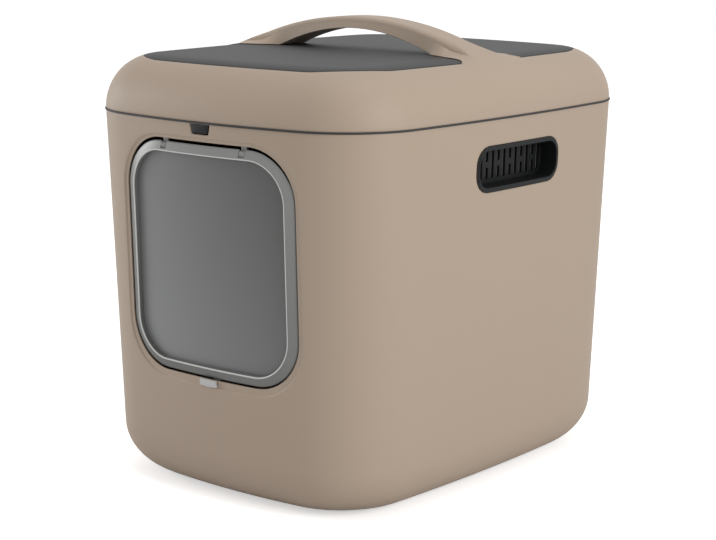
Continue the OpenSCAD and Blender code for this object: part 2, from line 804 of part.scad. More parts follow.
// Slanted back edge, which lets the rim's top turn inwards under the wall: its height and depth
rim_slant = [6.9, 6.2];
module rim_body() {
    rebate_edge = rim_w - rebate_w;
    skin([
        rim_ring(rim_back_round, -rim_depth),
        rim_ring(0, -rim_depth + rim_back_round),
        rim_ring(0, -rim_set - 0.5),
        rim_ring(0.6, -rim_set),
        rim_ring(rim_w - crest_w, rim_crest),
        rim_ring(rim_w - 0.4, rim_crest),
        rim_ring(rim_w, rim_crest - 0.6),
        rim_ring(rim_w, -window_set + 0.1),
        rim_ring(rebate_edge, -window_set + 0.1),
        rim_ring(rebate_edge, -rim_depth)], true);
}

// What the slanted back edge takes away, as depth and height from the rim's front edge.
module slant_profile() {
    over = rim_slant / 3;
    polygon([
        [rim_depth - rim_slant.y - over.y, over.x], [rim_depth + 6, over.x],
        [rim_depth + 6, -rim_slant.x - over.x], [rim_depth + over.y, -rim_slant.x - over.x]]);
}

// The slant is turned about the axis of the wall's bow, and laid straight across each upper corner.
slant_corner_a = 27;
slant_room = 0.5;
module slant_cut() {
    translate([0, front_bow_r, -flap_drop])
        rotate_extrude($fn = big_fn)
            translate([front_bow_r, 0])
                mirror([1, 0])
                    slant_profile();
    corner_x = flap_w / 2 - flap_r;
    for (side = [-1, 1])
        translate([side * corner_x, front_bow(corner_x + flap_r * sin(slant_corner_a)), -flap_drop - flap_r])
            rotate([0, side * slant_corner_a, 0])
                translate([0, 0, flap_r - slant_room])
                    along_x(-flap_r / 2, flap_r)
                        slant_profile();
}

module flap_bore(side, r, reach) {
    translate([side * lug_x, axis_y, axis_z])
        rotate([0, 90, 0])
            cylinder(r = r, h = lug_w + 2 * reach, center = true, $fn = fine_fn);
}

lug_r = 3.6;
slot_row = lug_w + 2 * lug_gap;
module flap_rim() {
    color(pale_grey)
        on_front()
            difference() {
                rim_body();
                for (side = [-1, 1]) {
                    // Slot for the lug: round below the axis, open above it
                    translate([side * lug_x, axis_y, axis_z])
                        rotate([0, 90, 0])
                            cylinder(r = lug_r + 0.5, h = slot_row, center = true, $fn = fine_fn);
                    translate([side * lug_x - lug_w / 2 - lug_gap, axis_y - 12, axis_z - 2.6])
                        cube([slot_row, 24, axis_drop + 8]);
                    flap_bore(side, flap_pin_r + pin_gap, flap_pin_reach + 0.2);
                }
                slant_cut();
            }
}

module flap_window() {
    edge = rim_w - rebate_w + window_gap;
    points = shifted(rounded_points(flap_w - 2 * edge, flap_h - 2 * edge, flap_r - edge), 0, flap_mid_z);
    color(smoke_grey)
        on_front()
            difference() {
                intersection() {
                    front_prism(points, 0, 30);
                    behind_front(window_set);
                }
                behind_front(window_set + window_t);
                for (side = [-1, 1])
                    translate([side * lug_x - lug_w / 2 - lug_gap, 0, axis_z - lug_r - 1.2])
                        cube([slot_row, 30, 20]);
            }
}

// Hinge lug: round end on the flap's axis, arm behind the wall, pad on its seat.
module flap_hinge(side) {
    pad_t = 3;
    color(pale_grey)
        on_front()
            difference() {
                union() {
                    translate([side * lug_x, axis_y, axis_z])
                        rotate([0, 90, 0])
                            cylinder(r = lug_r, h = lug_w, center = true, $fn = fine_fn);
                    translate([side * lug_x - lug_w / 2, lug_pad_y, axis_z])
                        cube([lug_w, pad_t, lug_pad_top - axis_z]);
                    translate([side * lug_x - lug_pad_w / 2, lug_pad_y, lug_pad_low])
                        cube([lug_pad_w, pad_t, lug_pad_top - lug_pad_low]);
                }
                flap_bore(side, flap_pin_r + pin_gap, 1);
            }
}

module flap_pin(side) {
    color(steel)
        on_front()
            flap_bore(side, flap_pin_r, flap_pin_reach);
}

module flap_lock() {
    color(off_white)
        on_front()
            union() {
                // Finger plate: thin above, where it slides up over the rim, and thick below
                translate([-lock_w / 2, -lock_out, lock_top - lock_h])
                    cube([lock_w, lock_out, lock_h]);
                translate([-lock_w / 2, -1, lock_top - lock_h])
                    cube([lock_w, 1 + band_depth - 0.1, stem_top - lock_top + lock_h]);
                translate([-stem_w / 2, -1, stem_low])
                    cube([stem_w, plate_y + 2, stem_h]);
                translate([-lock_w / 2 + 2, plate_y, tongue_low])
                    cube([lock_w - 4, tongue_t, stem_top - tongue_low]);
                // Arm and tongue behind the flap's lower bar
                translate([-tongue_w / 2, plate_y, stem_low])
                    cube([tongue_w, tongue_y - plate_y + tongue_t, stem_h]);
                translate([-tongue_w / 2, tongue_y, stem_low])
                    cube([tongue_w, tongue_t, tongue_top - stem_low]);
            }
}

// Side grips ------------------------------------------------------------------------------

pocket_out = grip_seat + fit_gap;
back_t = 2.5;
slot_pitch = 2 * slot_w;
slot_columns = floor((grip_w / 2 - grip_rim - grip_wall) / slot_pitch);

// Vent slots: long ones, and pairs of short ones with a bridge between.
module slot_cuts(near, far) {
    for (i = [-slot_columns : slot_columns])
        intersection() {
            side_prism(grip_outline(grip_rim + 2.2), near, far);
            for (part = i % 2 == 0 ? [[-slot_h / 2, slot_h]]
                    : [[-slot_h / 2, (slot_h - bridge_h) / 2], [bridge_h / 2, (slot_h - bridge_h) / 2]])
                translate([-far - 1, grip_y + i * slot_pitch - slot_w / 2, grip_mid_z + part[0]])
                    cube([far - near + 2, slot_w, part[1]]);
        }
}

module side_grip(side) {
    color(near_black)
        on_side(side)
            difference() {
                union() {
                    difference() {
                        intersection() {
                            side_prism(grip_outline(0), -4, 6);
                            behind_side(-bezel_proud);
                        }
                        behind_side(rebate_depth - 0.1);
                    }
                    side_prism(grip_outline(pocket_out), 0, grip_depth);
                }
                side_prism(grip_outline(grip_rim), -5, grip_depth - back_t);
                slot_cuts(grip_depth - back_t - 1, grip_depth + 1);
            }
}

module vent_filter(side) {
    color(charcoal)
        on_side(side)
            side_prism(grip_outline(pocket_out + 0.2), grip_depth + 0.1, grip_depth + filter_t);
}

// Cap behind the pad: it grips the outside of the pocket, and its back is slotted like the pocket's.
cover_t = 1.6;
cover_lap = 6;
module filter_cover(side) {
    color(near_black)
        on_side(side)
            difference() {
                side_prism(grip_outline(pocket_out - 0.2 - cover_t),
                    grip_depth - cover_lap, grip_depth + filter_t + 0.2 + cover_t);
                side_prism(grip_outline(pocket_out - 0.2),
                    grip_depth - cover_lap - 1, grip_depth + filter_t + 0.1);
                slot_cuts(grip_depth + filter_t - 1, grip_depth + filter_t + cover_t + 2);
            }
}

// Frame: puts the middle of the outline over the origin.
module placed() {
    translate([0, frame_y, 0])
        children();
}

placed() base_tub();
placed() lid_frame();
placed() lid_inner();
placed() lid_latch();
placed() latch_pin();
placed() hinge_pin(-1);  // hinge_pin_left
placed() hinge_pin(1);  // hinge_pin_right
placed() flap_rim();
placed() flap_window();
placed() flap_hinge(-1);  // flap_hinge_left
placed() flap_hinge(1);  // flap_hinge_right
placed() flap_pin(-1);  // flap_pin_left
placed() flap_pin(1);  // flap_pin_right
placed() flap_lock();
placed() side_grip(-1);  // side_grip_left
placed() side_grip(1);  // side_grip_right
placed() vent_filter(-1);  // vent_filter_left
placed() vent_filter(1);  // vent_filter_right
placed() filter_cover(-1);  // filter_cover_left
placed() filter_cover(1);  // filter_cover_right
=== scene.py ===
"""The looks of a covered litter box with a swing flap and a hinged lid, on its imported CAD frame.

Lengths are in millimetres in the shape functions and become metres when a mesh is made.
"""

import math

import bmesh
import bpy
import numpy as np
from mathutils import Matrix, Vector


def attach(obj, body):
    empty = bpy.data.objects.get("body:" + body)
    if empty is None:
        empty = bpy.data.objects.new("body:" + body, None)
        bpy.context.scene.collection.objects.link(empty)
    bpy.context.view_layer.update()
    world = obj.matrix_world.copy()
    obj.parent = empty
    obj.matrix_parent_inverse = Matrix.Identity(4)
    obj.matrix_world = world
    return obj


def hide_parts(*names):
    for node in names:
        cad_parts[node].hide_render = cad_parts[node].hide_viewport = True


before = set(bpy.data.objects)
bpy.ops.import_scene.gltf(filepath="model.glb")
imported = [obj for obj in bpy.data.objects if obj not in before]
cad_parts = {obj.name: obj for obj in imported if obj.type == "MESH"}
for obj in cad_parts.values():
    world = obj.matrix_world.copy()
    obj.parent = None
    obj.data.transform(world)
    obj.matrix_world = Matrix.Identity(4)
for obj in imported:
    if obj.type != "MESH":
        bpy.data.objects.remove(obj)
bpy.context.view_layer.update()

# The camera ------------------------------------------------------------------------------
# A long lens at the photograph's viewing angle: a little above the lid, turned about 40 degrees
# to the right of the front.

PHOTO_WIDTH_PX = 716
FOCAL_LENGTH_PX = 1885.7
SENSOR_MM = 36
CAMERA_AZIMUTH = math.radians(39.592)
CAMERA_ELEVATION = math.radians(11.261)
CAMERA_ROLL = math.radians(0.166)
CAMERA_DISTANCE = 2.0621
CAMERA_TARGET = Vector((0, -0.0025, 0.2))
TARGET_RIGHT = -0.005865
TARGET_UP = 0.004295

lens = bpy.data.cameras.new("camera")
lens.sensor_width = SENSOR_MM
lens.lens = FOCAL_LENGTH_PX / PHOTO_WIDTH_PX * SENSOR_MM
lens.clip_start = 0.05
lens.clip_end = 50
camera = bpy.data.objects.new("camera", lens)
bpy.context.scene.collection.objects.link(camera)
camera_back = Vector((
    math.sin(CAMERA_AZIMUTH) * math.cos(CAMERA_ELEVATION),
    -math.cos(CAMERA_AZIMUTH) * math.cos(CAMERA_ELEVATION),
    math.sin(CAMERA_ELEVATION),
))
level_right = Vector((math.cos(CAMERA_AZIMUTH), math.sin(CAMERA_AZIMUTH), 0))
level_up = camera_back.cross(level_right)
camera_right = level_right * math.cos(CAMERA_ROLL) + level_up * math.sin(CAMERA_ROLL)
camera_up = camera_back.cross(camera_right)
camera_place = CAMERA_TARGET + camera_right * TARGET_RIGHT + camera_up * TARGET_UP
camera_place += camera_back * CAMERA_DISTANCE
turn = Matrix((camera_right, camera_up, camera_back)).transposed().to_4x4()
camera.matrix_world = Matrix.Translation(camera_place) @ turn
bpy.context.scene.camera = camera

# The studio ------------------------------------------------------------------------------
# A pale floor that looks a little brighter than it is, white surroundings that only the camera
# and reflections see at full strength, and large soft lights.

FLOOR_HALF = 6
FLOOR_COLOUR = (0.9, 0.9, 0.9, 1)
FLOOR_GLOW = 0.5
WORLD_LIGHT = 0.58
LIGHTS = {
    "key": {"place": (3.1, -0.25, 1.5), "aim": (0, 0, 0.2), "size": 1.8, "watts": 56},
    "top": {"place": (0.2, 0.1, 3.2), "aim": (0, 0, 0.3), "size": 2.6, "watts": 28},
    "left": {"place": (-3.1, -1.1, 0.9), "aim": (0, 0, 0.2), "size": 1.6, "watts": 38},
}

scene = bpy.context.scene
scene.view_settings.view_transform = "Standard"

world = bpy.data.worlds.new("studio")
scene.world = world
world.use_nodes = True
sky = world.node_tree
sky.nodes.clear()
rays = sky.nodes.new("ShaderNodeLightPath")
seen = sky.nodes.new("ShaderNodeMath")
seen.operation = "MAXIMUM"
seen_through = sky.nodes.new("ShaderNodeMath")
seen_through.operation = "MAXIMUM"
lit = sky.nodes.new("ShaderNodeBackground")
lit.inputs["Color"].default_value = (1, 1, 1, 1)
lit.inputs["Strength"].default_value = WORLD_LIGHT
white = sky.nodes.new("ShaderNodeBackground")
white.inputs["Color"].default_value = (1, 1, 1, 1)
white.inputs["Strength"].default_value = 1
choose = sky.nodes.new("ShaderNodeMixShader")
sky_out = sky.nodes.new("ShaderNodeOutputWorld")
sky.links.new(rays.outputs["Is Camera Ray"], seen.inputs[0])
sky.links.new(rays.outputs["Is Glossy Ray"], seen.inputs[1])
sky.links.new(seen.outputs[0], seen_through.inputs[0])
sky.links.new(rays.outputs["Is Transmission Ray"], seen_through.inputs[1])
sky.links.new(seen_through.outputs[0], choose.inputs[0])
sky.links.new(lit.outputs[0], choose.inputs[1])
sky.links.new(white.outputs[0], choose.inputs[2])
sky.links.new(choose.outputs[0], sky_out.inputs[0])

for name, values in LIGHTS.items():
    data = bpy.data.lights.new(name, "AREA")
    data.shape = "DISK"
    data.size = values["size"]
    data.energy = values["watts"]
    light = bpy.data.objects.new(name, data)
    scene.collection.objects.link(light)
    light.location = values["place"]
    aim = Vector(values["aim"]) - Vector(values["place"])
    light.rotation_euler = aim.to_track_quat("-Z", "Y").to_euler()

floor_mesh = bpy.data.meshes.new("floor")
floor_mesh.from_pydata(
    [(-FLOOR_HALF, -FLOOR_HALF, 0), (FLOOR_HALF, -FLOOR_HALF, 0),
     (FLOOR_HALF, FLOOR_HALF, 0), (-FLOOR_HALF, FLOOR_HALF, 0)],
    [], [(0, 1, 2, 3)])
floor = bpy.data.objects.new("floor", floor_mesh)
scene.collection.objects.link(floor)
floor_material = bpy.data.materials.new("floor")
floor_material.use_nodes = True
floor_shader = floor_material.node_tree.nodes["Principled BSDF"]
floor_shader.inputs["Base Color"].default_value = FLOOR_COLOUR
floor_shader.inputs["Roughness"].default_value = 0.9
floor_shader.inputs["Specular IOR Level"].default_value = 0.1
floor_shader.inputs["Emission Color"].default_value = (1, 1, 1, 1)
floor_seen = floor_material.node_tree.nodes.new("ShaderNodeLightPath")
floor_glow = floor_material.node_tree.nodes.new("ShaderNodeMath")
floor_glow.operation = "MULTIPLY"
floor_glow.inputs[1].default_value = FLOOR_GLOW
floor_material.node_tree.links.new(floor_seen.outputs["Is Camera Ray"], floor_glow.inputs[0])
floor_material.node_tree.links.new(floor_glow.outputs[0], floor_shader.inputs["Emission Strength"])
floor_mesh.materials.append(floor_material)

# The tub ---------------------------------------------------------------------------------
# One injection-moulded piece of taupe polypropylene with leaning, slightly bowed walls. The
# doorway has a soft sunk band round it, the rim a notch for the latch, and each side wall an
# opening for its grip. Its surface has the fine texture of an eroded mould.

BODY_W = 400
BODY_D = 505
SEAM_Z = 388.6
CORNER_R = 88.6
LEAN_DEG = 1.95
FRONT_BOW_R = 790
SIDE_BOW_R = 2200
CORNER_FADE = 0.34
BASE_ROUND = 52
WALL = 3
FLOOR_T = 4
FOOT_RECESS = 1.5
FOOT_RING_W = 16
LIP_T = 1.8
RIM_Z = SEAM_Z - LIP_T / 2
FRAME_Y = -2.5
EDGE_R = 0.5
TAUPE = (0.335, 0.262, 0.2, 1)

FLAP_W = 225
FLAP_H = 236.6
FLAP_DROP = 21.6
FLAP_R = 52
FLAP_GAP = 1.3
FLAP_TOP_GAP = 1.2
BAND_W = 6.5
BAND_LOW = 9
BAND_DEPTH = 1.4
FLAP_MID_Z = -FLAP_DROP - FLAP_H / 2

GRIP_W = 144
GRIP_H = 47
GRIP_R = 19
GRIP_Y = 8
GRIP_DROP = 26.6
GRIP_FIT = 0.3
GRIP_EDGE = 0.4
GRIP_REBATE = 1.3
GRIP_LEDGE = 2.4
GRIP_MID_Z = -GRIP_DROP - GRIP_H / 2

LATCH_TOP_W = 24.8
LATCH_LOW_W = 21.2
LATCH_H = 9.1
LATCH_GAP = 0.7
LATCH_TOP = RIM_Z - 0.4
NOTCH_PLAY = 0.6
NOTCH_CORNER = 1.2
NOTCH_CUT = 0.35
NOTCH_CHAMFER = 0.8

# Columns of the wall grid, from the middle of the front to the middle of the back
FRONT_REACH = 130
SIDE_REACH = 172
FRONT_COLUMNS = np.array([0, 5, 10, 15, 20, 30, 40, 50, 60, 70, 80, 90, 100, 110, 120, 126, 130.0])
SIDE_COLUMNS = np.concatenate([
    np.linspace(-172, -76, 10), np.linspace(-68, 84, 20), np.linspace(92, 172, 9)])
CORNER_STEPS = 18
PAST_FRONT = 4
PAST_SIDE = 3


def lean(z):
    """Inward shift of a leaning wall: the drop below the seam times the tangent of the lean."""
    return (SEAM_Z - z) * math.tan(math.radians(LEAN_DEG))


def plan(half_w, half_d, r):
    """Centre of the corner arc that touches both bows from inside, and the bearings of the two
    touching points: the centre is where circles of the bows' radii less r meet. Takes numbers or
    whole arrays."""
    back_y = half_d - FRONT_BOW_R
    side_x = half_w - SIDE_BOW_R
    span = np.hypot(side_x, back_y)
    along_x = side_x / span
    along_y = -back_y / span
    near = FRONT_BOW_R - r
    far = SIDE_BOW_R - r
    t = (near**2 - far**2 + span**2) / (2 * span)
    off = np.sqrt(near**2 - t**2)
    x = t * along_x + off * along_y
    y = back_y + t * along_y - off * along_x
    return (x, y), np.arctan2(y, x - side_x), np.arctan2(y - back_y, x)


def loop(half_w, half_d, r, front_reach=None, side_reach=None, side_columns=SIDE_COLUMNS):
    """A closed bowed and rounded rectangle, anticlockwise from the middle of the front: columns at
    fixed shares of the width and depth on the flat sides, by the bows' circles, which end just
    past the touching points, and even steps round the corners' circles."""
    c, a_side, a_back = plan(half_w, half_d, r)
    x_touch = c[0] + r * math.cos(a_back)
    y_touch = c[1] + r * math.sin(a_side)
    reach_x = front_reach or x_touch + PAST_FRONT
    reach_y = side_reach or y_touch + PAST_SIDE
    x = FRONT_COLUMNS / FRONT_REACH * reach_x
    y_of_x = np.where(
        x <= x_touch,
        half_d - FRONT_BOW_R + np.sqrt(FRONT_BOW_R**2 - x**2),
        c[1] + np.sqrt(np.maximum(r**2 - (x - c[0]) ** 2, 0)))
    y = side_columns / SIDE_REACH * reach_y
    x_of_y = np.where(
        np.abs(y) <= y_touch,
        half_w - SIDE_BOW_R + np.sqrt(SIDE_BOW_R**2 - y**2),
        c[0] + np.sqrt(np.maximum(r**2 - (np.abs(y) - c[1]) ** 2, 0)))
    a0 = math.atan2(y_of_x[-1] - c[1], x[-1] - c[0])
    a1 = math.atan2(abs(y[0]) - c[1], x_of_y[0] - c[0])
    turn_angles = np.linspace(a0, a1, CORNER_STEPS + 1)[1:-1]
    corner = np.stack([c[0] + r * np.cos(turn_angles), c[1] + r * np.sin(turn_angles)], 1)
    front = np.stack([x, -y_of_x], 1)
    side = np.stack([x_of_y, y], 1)
    half = np.concatenate([
        front, corner * [1, -1], side, corner[::-1], np.stack([x, y_of_x], 1)[::-1]])
    return np.concatenate([half, (half * [-1, 1])[::-1][1:-1]])


def at_height(points, z):
    """Plan points with their height, a number or one value for each point."""
    return np.column_stack([points, np.broadcast_to(z, len(points))])


def skin(rings, closed_ring=True, closed_rows=False):
    """Quads between rings that have the same number of points, as points and point indices."""
    rings = np.asarray(rings, float)
    n, m = rings.shape[:2]
    rows = np.arange(n if closed_rows else n - 1)
    columns = np.arange(m if closed_ring else m - 1)
    j, k = np.meshgrid(rows, columns, indexing="ij")
    a = j * m + k
    b = j * m + (k + 1) % m
    c = (j + 1) % n * m + (k + 1) % m
    d = (j + 1) % n * m + k
    return rings.reshape(-1, 3), np.stack([a, b, c, d], -1).reshape(-1, 4)


def cap(ring):
    """A flat fan that closes a ring, as triangles round its middle."""
    ring = np.asarray(ring, float)
    m = len(ring)
    points = np.vstack([ring, ring.mean(0)])
    k = np.arange(m)
    return points, np.stack([k, (k + 1) % m, np.full(m, m), np.full(m, m)], -1)


def build(name, parts, material, sharp_deg=30, trim=(), trim_material=None):
    """Welds the parts' equal points, faces the surface outwards and makes the object, shifted to
    the model's frame and scaled from millimetres to metres. The trim is the part of the surface
    that has the second material."""
    parts = list(parts) + list(trim)
    starts = np.cumsum([0] + [len(part[0]) for part in parts])
    points = np.concatenate([part[0] for part in parts])
    faces = np.concatenate([part[1] + start for part, start in zip(parts, starts)])
    finish = np.zeros(len(faces), int)
    finish[len(faces) - sum(len(part[1]) for part in trim):] = 1
    _, first, same = np.unique(
        np.round(points, 3), axis=0, return_index=True, return_inverse=True)
    faces = same.reshape(-1)[faces]
    points = (points[first] + [0, FRAME_Y, 0]) / 1000
    fresh = faces != np.roll(faces, 1, axis=1)
    quad = fresh.sum(1) == 4
    triangle = fresh.sum(1) == 3
    triangles = faces[triangle][fresh[triangle]].reshape(-1, 3)
    mesh = bpy.data.meshes.new(name)
    mesh.from_pydata(points.tolist(), [], faces[quad].tolist() + triangles.tolist())
    mesh.polygons.foreach_set(
        "material_index", np.concatenate([finish[quad], finish[triangle]]))
    mesh.validate()
    outward(mesh)
    mesh.polygons.foreach_set("use_smooth", np.ones(len(mesh.polygons), bool))
    mesh.set_sharp_from_angle(angle=math.radians(sharp_deg))
    mesh.materials.append(material)
    if trim_material:
        mesh.materials.append(trim_material)
    piece = bpy.data.objects.new(name, mesh)
    scene.collection.objects.link(piece)
    return piece


def outward(mesh):
    """Turns every face of a closed mesh outwards."""
    shape = bmesh.new()
    shape.from_mesh(mesh)
    bmesh.ops.recalc_face_normals(shape, faces=shape.faces)
    shape.to_mesh(mesh)
    shape.free()


def moulded_plastic(name, colour, roughness, grain=0.00002, specular=0.4):
    """Plastic with the fine pits of a textured mould and faint, wide changes of tone."""
    material = bpy.data.materials.new(name)
    material.use_nodes = True
    tree = material.node_tree
    shader = tree.nodes["Principled BSDF"]
    place = tree.nodes.new("ShaderNodeTexCoord")
    pits = tree.nodes.new("ShaderNodeTexNoise")
    pits.inputs["Scale"].default_value = 1400
    pits.inputs["Detail"].default_value = 2
    clouds = tree.nodes.new("ShaderNodeTexNoise")
    clouds.inputs["Scale"].default_value = 6
    clouds.inputs["Detail"].default_value = 2
    tone = tree.nodes.new("ShaderNodeMix")
    tone.data_type = "RGBA"
    tone.inputs["A"].default_value = tuple(v * 0.985 for v in colour[:3]) + (1,)
    tone.inputs["B"].default_value = tuple(min(v * 1.015, 1) for v in colour[:3]) + (1,)
    shine = tree.nodes.new("ShaderNodeMapRange")
    shine.inputs["To Min"].default_value = roughness - 0.04
    shine.inputs["To Max"].default_value = roughness + 0.04
    bump = tree.nodes.new("ShaderNodeBump")
    bump.inputs["Strength"].default_value = 0.5
    bump.inputs["Distance"].default_value = grain
    tree.links.new(place.outputs["Object"], pits.inputs["Vector"])
    tree.links.new(place.outputs["Object"], clouds.inputs["Vector"])
    tree.links.new(clouds.outputs["Fac"], tone.inputs["Factor"])
    tree.links.new(tone.outputs["Result"], shader.inputs["Base Color"])
    tree.links.new(pits.outputs["Fac"], shine.inputs["Value"])
    tree.links.new(shine.outputs["Result"], shader.inputs["Roughness"])
    tree.links.new(pits.outputs["Fac"], bump.inputs["Height"])
    tree.links.new(bump.outputs["Normal"], shader.inputs["Normal"])
    shader.inputs["Specular IOR Level"].default_value = specular
    return material


taupe_plastic = moulded_plastic("taupe plastic", TAUPE, 0.55)

# Rows of the wall grid above the rounding; the doorway, the notch and the grips sit between rows
FIXED_Z = 108
ROWS = np.concatenate([
    np.linspace(FIXED_Z, 300, 21), np.linspace(305, 372, 10), [375, 378, 381, 384, RIM_Z - EDGE_R]])


def flat_reaches(drop):
    """Half the width and depth of the flat columns at a drop: to just past the corner arc's
    touching points."""
    r = CORNER_R - CORNER_FADE * drop
    c, a_side, a_back = plan(BODY_W / 2 - drop, BODY_D / 2 - drop, r)
    return np.array([
        c[0] + r * math.cos(a_back) + PAST_FRONT, c[1] + r * math.sin(a_side) + PAST_SIDE])


def wall_ring(drop, depth, z):
    """A level ring of the tub's wall: its lean and rounding, its depth below the outer face. The
    flat columns keep their places above the rounding and close up in proportion below it."""
    reach = np.array([FRONT_REACH, SIDE_REACH])
    if z < FIXED_Z:
        reach = reach * flat_reaches(drop) / flat_reaches(lean(FIXED_Z))
    half_w = BODY_W / 2 - drop - depth
    half_d = BODY_D / 2 - drop - depth
    return at_height(loop(half_w, half_d, CORNER_R - CORNER_FADE * drop - depth, *reach), z)


def wall_rings(depth, bottom, fillet):
    """Rings of one face of the wall: a quarter circle's rounding up from the floor, then the
    leaning wall up to the rim."""
    rings = []
    for a in np.linspace(0, math.pi / 2, 15):
        z = bottom + fillet * (1 - math.cos(a))
        rings.append(wall_ring(lean(z) + fillet * (1 - math.sin(a)), depth, z))
    for z in np.concatenate([np.linspace(bottom + fillet, FIXED_Z, 6)[1:-1], ROWS]):
        rings.append(wall_ring(lean(z), depth, z))
    return np.array(rings)


def on_wall(axis, along, z, depth):
    """Points on a wall: axis 0 is the front wall with x along it, axis 1 the right wall with y
    along it; a curved wall is a circle's arc, and past its end the corner's arc."""
    along, z, depth = np.broadcast_arrays(*(np.asarray(v, float) for v in (along, z, depth)))
    drop = lean(z)
    half_w = BODY_W / 2 - drop - depth
    half_d = BODY_D / 2 - drop - depth
    r = CORNER_R - CORNER_FADE * drop - depth
    (corner_x, corner_y), a_side, a_back = plan(half_w, half_d, r)
    if axis == 0:
        flat = np.abs(along) <= corner_x + r * np.cos(a_back)
        bowed = half_d - FRONT_BOW_R + np.sqrt(FRONT_BOW_R**2 - along**2)
        rounding = corner_y + np.sqrt(np.maximum(r**2 - (np.abs(along) - corner_x) ** 2, 0))
        return np.column_stack([along, -np.where(flat, bowed, rounding), z])
    flat = np.abs(along) <= corner_y + r * np.sin(a_side)
    bowed = half_w - SIDE_BOW_R + np.sqrt(SIDE_BOW_R**2 - along**2)
    rounding = corner_x + np.sqrt(np.maximum(r**2 - (np.abs(along) - corner_y) ** 2, 0))
    return np.column_stack([np.where(flat, bowed, rounding), along, z])


def rounded_side_points(w, h, r, shares):
    """Points on a rounded rectangle, one for each share of a side: 0 to 1 runs along the bottom
    from the middle of one corner arc to the middle of the next, 1 to 2 up the right side, and so
    on, with equal steps of length within a side. A point is worked out as if its side were the
    bottom one, then turned by its side's quarter turns."""
    side = np.floor(shares).astype(int) % 4
    level = side % 2 == 0
    flat = np.where(level, w, h) - 2 * r
    arc = r * math.pi / 4
    run = (shares - np.floor(shares)) * (flat + 2 * arc) - arc
    on_flat = np.clip(run, 0, flat)
    a = (run - on_flat) / r - math.pi / 2
    x = on_flat - flat / 2 + r * np.cos(a)
    y = r * np.sin(a) + r - np.where(level, h, w) / 2
    quarter_cos = np.array([1, 0, -1, 0])[side]
    quarter_sin = np.array([0, 1, 0, -1])[side]
    return np.column_stack([x * quarter_cos - y * quarter_sin, x * quarter_sin + y * quarter_cos])


def border(a_values, z_values):
    """Points round a rectangle of grid lines, anticlockwise from its lower left corner, with
    each one's share of its side."""
    n_a = len(a_values) - 1
    n_z = len(z_values) - 1
    points = np.column_stack([
        np.concatenate([
            a_values[:-1], np.full(n_z, a_values[-1]), a_values[:0:-1], np.full(n_z, a_values[0])]),
        np.concatenate([
            np.full(n_a, z_values[0]), z_values[:-1], np.full(n_a, z_values[-1]),
            z_values[:0:-1]])])
    steps = [np.arange(n) / n for n in (n_a, n_z, n_a, n_z)]
    return points, np.concatenate([step + side for side, step in enumerate(steps)])


slope = math.cos(math.radians(LEAN_DEG))
BAND_OUT = 0.8
BAND_SLOPE = 2.4
EDGE_ANGLES = np.radians([0, 30, 60, 90])


def hole(axis, a_values, z_values, outlines, face, mirror=False):
    """The wall round an opening at one face's depth, from a grid rectangle in to the opening's
    edge, in even shares of the way: outlines is a list of (width, height, corner, middle a, middle
    z below the seam, depth), outermost first."""
    frame_points, shares = border(a_values, z_values)
    first = rounded_side_points(*outlines[0][:3], shares) + [outlines[0][3], 0]
    first[:, 1] = SEAM_Z + (first[:, 1] + outlines[0][4]) * slope
    rings = []
    for t in (0, 0.25, 0.5, 0.75):
        p = frame_points * (1 - t) + first * t
        rings.append(on_wall(axis, p[:, 0], p[:, 1], face))
    for w, h, r, mid_a, mid_z, depth in outlines:
        p = rounded_side_points(w, h, r, shares)
        rings.append(on_wall(axis, p[:, 0] + mid_a, SEAM_Z + (p[:, 1] + mid_z) * slope, depth))
    points, faces = skin(rings)
    if mirror:
        points = points * [-1, 1, 1]
    return points, faces


front_lines = np.concatenate([-FRONT_COLUMNS[-2:0:-1], FRONT_COLUMNS[:-1]])
door_rows = ROWS[(ROWS >= FIXED_Z) & (ROWS <= 375)]
grip_lines = SIDE_COLUMNS[(SIDE_COLUMNS >= -72) & (SIDE_COLUMNS <= 88)]
grip_rows = ROWS[(ROWS >= 304) & (ROWS <= 373)]
notch_lines = np.array([-20, -15, -10, -5, 0, 5, 10, 15, 20.0])
notch_rows = ROWS[ROWS >= 375]


def doorway_outlines():
    """Outlines of the sunk band, eased from the wall's face, and of the doorway's rounded edge,
    each grown from the flap's or the doorway's own outline."""
    extra = BAND_LOW - BAND_W
    steps = []
    for t in np.linspace(0, 1, 7):
        grow = BAND_W + BAND_OUT - BAND_SLOPE * t
        steps.append((
            FLAP_W + 2 * grow, FLAP_H + 2 * grow + extra, FLAP_R + grow, 0, FLAP_MID_Z - extra / 2,
            BAND_DEPTH * t * t * (3 - 2 * t)))
    door_w = FLAP_W + 2 * FLAP_GAP
    door_h = FLAP_H + 2 * FLAP_GAP + FLAP_TOP_GAP
    door_z = FLAP_MID_Z + FLAP_TOP_GAP / 2
    for a in EDGE_ANGLES:
        back = EDGE_R * (1 - math.sin(a))
        steps.append((
            door_w + 2 * back, door_h + 2 * back, FLAP_R + FLAP_GAP + back, 0, door_z,
            BAND_DEPTH + EDGE_R * (1 - math.cos(a))))
    return steps + [(door_w, door_h, FLAP_R + FLAP_GAP, 0, door_z, WALL)]


def grip_outlines():
    """Outlines of a grip's seat: a rounded edge, then down into the rebate and through the wall,
    each grown or shrunk from the grip's own outline."""
    def grown(grow, depth):
        """The grip's outline, grown evenly all round."""
        return GRIP_W + 2 * grow, GRIP_H + 2 * grow, GRIP_R + grow, GRIP_Y, GRIP_MID_Z, depth

    edge = [
        grown(GRIP_FIT + GRIP_EDGE * (1 - math.sin(a)), GRIP_EDGE * (1 - math.cos(a)))
        for a in np.radians([0, 45, 90])]
    return edge + [
        grown(GRIP_FIT, GRIP_REBATE), grown(-GRIP_LEDGE, GRIP_REBATE), grown(-GRIP_LEDGE, WALL)]


